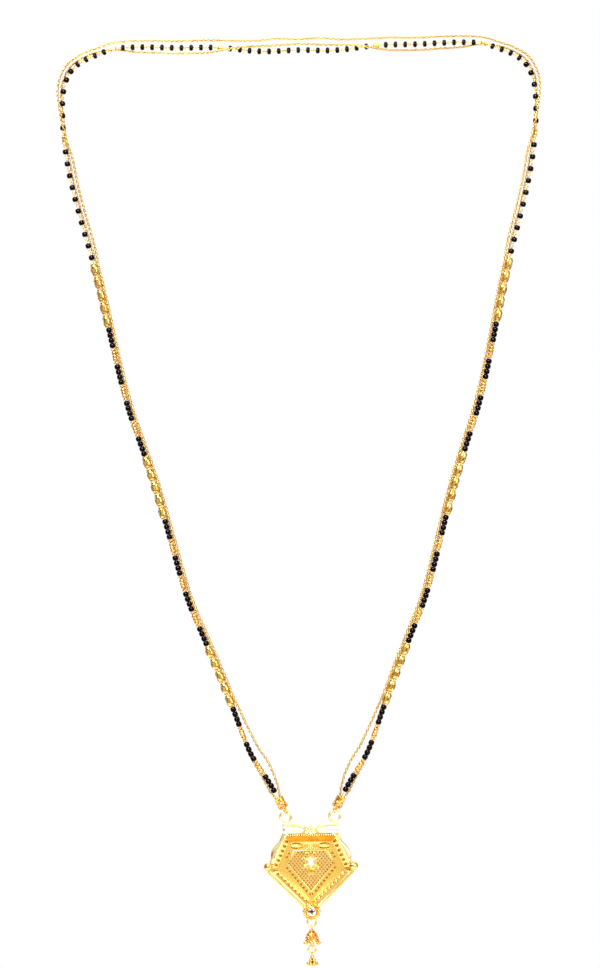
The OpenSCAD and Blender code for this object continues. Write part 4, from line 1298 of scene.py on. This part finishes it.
class NECKLACE_OT_boss(bpy.types.Operator):
    """The scalloped collar with its cut dome, the top rings and the lower eye"""
    bl_idname = "necklace.boss"
    bl_label = "Boss and rings"

    # Radius as a share of the dome's diameter, and height in millimetres
    dome_rows = ((0, 0), (0.5, 0), (0.5, 0.45), (0.42, 0.95), (0.28, 1.42), (0.14, 1.73), (0, 1.84))
    # Radius and height in millimetres
    disc_rows = ((0, 0), (2.75, 0), (2.95, 0.3), (2.85, 0.9), (2.45, 1.1), (2.2, 0.95), (2.05, 1.3),
                 (1.9, 1.5), (1.8, 1.3), (1.8, 0.6), (0, 0.6))

    def execute(self, context):
        p = context.scene.pendant_sizes
        self.add_collar(p)
        self.add_dome(p)
        foot_z = horn_z(p, p.ring_x)
        ring_z = foot_z - 0.3 * MM + p.ring_h / 2
        flat = Matrix.Diagonal((1.15, 0.95, 0.6, 1))
        rings = [at(side * p.ring_x, 0, ring_z) for side in (-1, 1)]
        feet = [at(side * p.ring_x, 0, foot_z - 0.15 * MM) @ flat for side in (-1, 1)]
        top_rings = join([copies(ring(p.ring_w, p.ring_h, p.ring_wire, 36, 12), rings),
                          copies(ball(1.5 * MM, 14, 10), feet)])
        hang("top_rings", top_rings, "lattice", "polished_gold")
        eye_wire, eye_hole = 0.5 * MM, 0.9 * MM
        eye_d = eye_hole + 2 * eye_wire
        eye_z = -p.tip_drop - (eye_hole + eye_wire) / 2 + 0.15 * MM
        eye = copies(ring(eye_d, eye_d, eye_wire), [at(0, 0, eye_z) @ turned(90, "Z")])
        hang("tail_eye", eye, "ring")
        return {"FINISHED"}

    def add_dome(self, p):
        """A dome of flat cuts, each row of them turned half a cut from the last."""
        dome = lathe([(r * p.dome_d, y * MM) for r, y in self.dome_rows], 12)

        def twist(co):
            return Matrix.Rotation(TAU / 24 * (round(co.z / MM * 2) % 2), 3, "Z") @ co

        def dark(co):
            """Painted dark reflection: the cuts in the middle are coloured dark, in turn with bright ones."""
            out = math.hypot(co.x, co.y) / p.dome_d
            return 1.0 if out < 0.2 or (out < 0.34 and sector(co, 12) % 3 == 0) else 0.0

        paint_dark(move_points(dome, twist), dark)
        dome = copies(dome, [at(0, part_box("boss_dome")[1].y, BOSS.z) @ turned(90, "X")])
        dress("cut_dome.001", dome, "dome", "pendant", "polished_gold", "boss_dome")

    def add_collar(self, p):
        """Scalloped collar: a dished disc, a ring of petals and a bezel with granules."""
        back, front = -p.front + 0.8 * MM, -p.front - 0.8 * MM
        disc = shade(lathe([(r * MM, y * MM) for r, y in self.disc_rows], 36), angle=40)
        petal = at(0, (front + back) / 2 + 0.1 * MM, p.collar_d / 2 - 0.68 * MM)
        grain = at(0, front + 0.35 * MM, 2.35 * MM)
        collar = join([
            copies(disc, [at(0, back, 0) @ turned(90, "X")]),
            copies(oval(1.5 * MM, 1, 0.8, 0.85), round_about("Y", p.scallops, petal)),
            copies(ball(0.5 * MM, 8, 6), round_about("Y", 2 * p.scallops, grain, 0.5))])
        hang("scalloped_collar", collar, "bell", "polished_gold")


class NECKLACE_OT_drop(bpy.types.Operator):
    """The linking rings, the bell and the ball cluster"""
    bl_idname = "necklace.drop"
    bl_label = "Bell drop"

    link_wire = 0.68 * MM
    eye_d, eye_wire = 1.9 * MM, 0.5 * MM
    # Radius as a share of the mouth's, and height in millimetres, up the outside and down the inside
    skin_rows = ((0.8, 0), (1.0, 0), (1.04, 0.22), (0.99, 0.45), (0.94, 1.0), (0.84, 2.0), (0.68, 3.1),
                 (0.5, 4.0), (0.33, 4.6), (0.36, 4.75), (0.36, 5.05), (0.24, 5.25), (0, 5.3), (0, 4.4),
                 (0.34, 4.0), (0.66, 2.2), (0.8, 0.4), (0.8, 0))

    def execute(self, context):
        for node, width, height in (("drop_ring", 3.9, 4.2), ("bell_ring", 3.6, 3.6)):
            link = ring(width * MM, height * MM, self.link_wire, 32, 12)
            middle = sum(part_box(node), Vector()) / 2
            dress("round_" + node, copies(link, [at(*middle)]), "ring", "pendant", "gold", node)
        self.add_bell()
        self.add_cluster()
        return {"FINISHED"}

    def eyes(self, *heights):
        """Small eyes that stand across the linking rings."""
        return copies(ring(self.eye_d, self.eye_d, self.eye_wire, 20, 8),
                      [at(0, 0, z) @ turned(90, "Z") for z in heights])

    def add_bell(self):
        lo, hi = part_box("bell")
        low = hi.z - (self.eye_d - self.eye_wire / 2) - 5.1 * MM
        mouth = 2.5 * MM
        skin = lathe([(r * mouth, low + z * MM) for r, z in self.skin_rows], 30)
        # Painted shade on the skin between the wires, faint at the rim and the tip.
        paint_dark(skin, lambda co: 0.9 if low + 0.5 * MM < co.z < low + 4.7 * MM else 0.2)

        def on_skin(turn, z):
            """Place of the wire that lies on the bell."""
            r = mouth * (1.02 - 0.03 * z - 0.022 * z * z) + 0.08 * MM
            return Vector((r * math.sin(turn), -r * math.cos(turn), low + z * MM))

        def loop_point(turn, a):
            swing = 0.36 * math.sin(a) * (1 + 0.35 * math.cos(a + math.pi))
            return on_skin(turn + swing, 1.9 + 1.25 * math.cos(a))

        runs, grains, reach = [], [], 0.98 * mouth
        for turn in (TAU * k / 6 for k in range(6)):
            runs.append(([loop_point(turn, TAU * j / 20) for j in range(20)], True))
            runs.append(([on_skin(turn + TAU / 12, z) for z in (0.5, 1.4, 2.4, 3.4, 4.2)], False))
            grains.append(at(reach * math.sin(turn), -reach * math.cos(turn), low + 1.55 * MM))
        stem = [Vector((0, 0, lo.z + self.eye_d - 0.2 * MM)), Vector((0, 0, low + 4.6 * MM))]
        bell = join([
            shade(skin, angle=45), wires(runs, 0.34 * MM, 1),
            copies(ball(0.7 * MM, 10, 7), grains),
            copies(ball(1.7 * MM, 18, 12), round_about("Z", 4, at(mouth - 0.1 * MM, 0, low - 0.1 * MM))),
            copies(ball(0.62 * MM, 8, 6), round_about("Z", 16, at(mouth, 0, low + 0.1 * MM), 0.5)),
            self.eyes(hi.z - self.eye_d / 2, lo.z + self.eye_d / 2), wires([(stem, False)], 0.6 * MM)])
        dress("filigree_bell", bell, "bell", "pendant", "gold", "bell")

    def add_cluster(self):
        lo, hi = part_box("ball_cluster")
        grape = 1.65 * MM
        low = lo.z + grape / 2
        balls = [at(0, 0, low), at(0, 0, low + 1.5 * grape) @ sized(0.9)]
        # Balls in a row, distance out and height as shares of a ball, size and turn
        for count, reach, height, size, start in ((6, 0.87, 0.06, 1.0, 0.0), (4, 0.52, 0.82, 0.88, 0.5)):
            balls += round_about("Z", count, at(reach * grape, 0, low + height * grape) @ sized(size), start)
        collar = at(0, 0, low + 1.86 * grape) @ turned(90, "X")
        cluster = join([
            copies(ball(grape, 18, 12), balls), copies(ring(1.3 * MM, 1.3 * MM, 0.36 * MM, 16, 8), [collar]),
            self.eyes(hi.z - self.eye_d / 2)])
        # Painted shade in the gaps between the lower balls, and faintly on the rest.
        paint_dark(cluster, lambda co: 1.0 if 0.25 * grape < math.hypot(co.x, co.y) < 0.55 * grape
               and co.z < low + 0.5 * grape else 0.3)
        dress("grape_cluster", cluster, "bell", "pendant", "polished_gold", "ball_cluster")


class NECKLACE_OT_stage(bpy.types.Operator):
    """Camera, soft studio light and pale floor"""
    bl_idname = "necklace.stage"
    bl_label = "Stage"

    view_x, view_z = -1.9 * MM, -163.9 * MM
    view_height = 367.8 * MM
    view_roll = math.radians(0.887)
    camera_away = 1.7
    sensor = 36.0
    floor_r, floor_z = 0.34, -0.43
    aim = Vector((0, 0, -0.17))
    # Name, place, width and height, power and tint
    lights = (
        ("Key", (-0.3, -0.85, 0.55), (0.5, 0.35), 18, (1, 1, 1)),
        ("Bead light", (-0.1, -1.0, 0.25), (0.3, 0.25), 90, (0.93, 0.9, 1.0)),
        ("Fill", (0.8, -0.8, 0.1), (0.5, 0.9), 5, (1, 1, 1)),
        ("Top", (0.1, 0.1, 0.9), (0.9, 0.6), 7, (1, 1, 1)),
        ("Back", (0.0, 0.9, 0.3), (0.9, 0.5), 4, (1, 1, 1)))
    # Place on the ramp and colour of the studio round the necklace
    studio = ((0.36, (0.1, 0.04, 0.01)), (0.44, (0.5, 0.36, 0.22)), (0.5, (0.95, 0.9, 0.84)),
              (0.62, (1.15, 1.13, 1.1)))
    screen = (0.85, 0.84, 0.82, 1)

    def execute(self, context):
        self.add_camera(context.scene)
        self.add_floor(context.scene.necklace_colours.floor)
        for row in self.lights:
            self.add_light(*row)
        linking = bpy.data.objects["Bead light"].light_linking
        linking.receiver_collection = bpy.data.collections.new(BEADS)
        self.add_surround(context.scene)
        context.scene.view_settings.view_transform = "Standard"
        return {"FINISHED"}

    def add_camera(self, scene):
        clear_selection()
        bpy.ops.object.camera_add(location=(self.view_x, -self.camera_away, self.view_z))
        camera = bpy.context.object
        camera.name = "Camera"
        roll = Matrix.Rotation(-self.view_roll, 3, "Z")
        camera.rotation_euler = (Matrix.Rotation(math.pi / 2, 3, "X") @ roll).to_euler()
        camera.data.sensor_width = self.sensor
        camera.data.lens = self.sensor * self.camera_away / self.view_height
        camera.data.clip_start = 0.1
        scene.camera = camera

    def add_floor(self, tone):
        clear_selection()
        bpy.ops.mesh.primitive_circle_add(
            vertices=96, radius=self.floor_r, fill_type="NGON", location=(0, 0, self.floor_z))
        floor = bpy.context.object
        floor.name = floor.data.name = "studio_floor"
        floor.data.materials.append(new_material("Studio floor", Base_Color=tuple(tone), Roughness=0.6)[0])

    def add_light(self, name, place, size, power, tint):
        clear_selection()
        bpy.ops.object.light_add(type="AREA", location=place)
        light = bpy.context.object
        light.name = name
        light.data.shape = "RECTANGLE"
        light.data.size, light.data.size_y = size
        light.data.energy = power
        light.data.color = tint
        light.rotation_euler = (self.aim - Vector(place)).to_track_quat("-Z", "Y").to_euler()

    def add_surround(self, scene):
        """White to the camera, and a soft studio with darker gaps to the reflections."""
        world = bpy.data.worlds.new("Studio")
        scene.world = world
        world.use_nodes = True
        tree = world.node_tree
        around = add_node(tree, "TexCoord").outputs["Generated"]
        patches = add_node(tree, "TexNoise", Vector=around, Scale=1.7, Detail=1.5, Roughness=0.5)
        ramp = add_node(tree, "ValToRGB", Fac=patches.outputs["Fac"])
        elements = ramp.color_ramp.elements
        while len(elements) < len(self.studio):
            elements.new(0.5)
        for element, (position, tint) in zip(elements, self.studio):
            element.position = position
            element.color = (*tint, 1)
        split = add_node(tree, "SeparateXYZ", Vector=around)
        # A bright screen round the camera and a bright ceiling
        ahead = add_node(tree, "MapRange", Value=split.outputs["Y"], From_Min=-0.8, From_Max=-0.97)
        above = add_node(tree, "MapRange", Value=split.outputs["Z"], From_Min=0.3, From_Max=0.65, To_Max=0.8)
        most = calculate(tree, "MAXIMUM", ahead.outputs["Result"], above.outputs["Result"])
        background = tree.nodes["Background"]
        feed(tree, background.inputs["Color"], mix_colours(tree, most, ramp.outputs["Color"], self.screen))
        white = add_node(tree, "Background", Color=(1, 1, 1, 1))
        rays = add_node(tree, "LightPath")
        mix = add_node(tree, "MixShader")
        seen = rays.outputs["Is Camera Ray"], background.outputs[0], white.outputs[0]
        for socket, value in zip(mix.inputs, seen):
            feed(tree, socket, value)
        feed(tree, tree.nodes["World Output"].inputs["Surface"], mix.outputs[0])


class NECKLACE_PT_maker(bpy.types.Panel):
    """Buttons and sizes for the necklace"""
    bl_idname = "NECKLACE_PT_maker"
    bl_label = "Mangalsutra"
    bl_space_type = "VIEW_3D"
    bl_region_type = "UI"
    bl_category = "Mangalsutra"

    def draw(self, context):
        for operator in OPERATORS:
            self.layout.operator(operator.bl_idname)
        for group, kind in SETTINGS.items():
            box = self.layout.box()
            for name in kind.__annotations__:
                box.prop(getattr(context.scene, group), name)


SETTINGS = {"strand_sizes": StrandSizes, "pendant_sizes": PendantSizes, "necklace_colours": NecklaceColours}
OPERATORS = (
    NECKLACE_OT_stage, NECKLACE_OT_finishes, NECKLACE_OT_black_beads, NECKLACE_OT_gold_beads,
    NECKLACE_OT_wires, NECKLACE_OT_chains, NECKLACE_OT_end_caps, NECKLACE_OT_tray, NECKLACE_OT_leaves,
    NECKLACE_OT_lattice, NECKLACE_OT_boss, NECKLACE_OT_drop)


def register():
    for kind in (*SETTINGS.values(), *OPERATORS, NECKLACE_PT_maker):
        bpy.utils.register_class(kind)
    for name, kind in SETTINGS.items():
        setattr(bpy.types.Scene, name, PointerProperty(type=kind))


def unregister():
    for name in SETTINGS:
        delattr(bpy.types.Scene, name)
    for kind in reversed((*SETTINGS.values(), *OPERATORS, NECKLACE_PT_maker)):
        bpy.utils.unregister_class(kind)


def main():
    register()
    for operator in OPERATORS:
        group, name = operator.bl_idname.split(".")
        getattr(getattr(bpy.ops, group), name)()


if __name__ == "__main__":
    main()
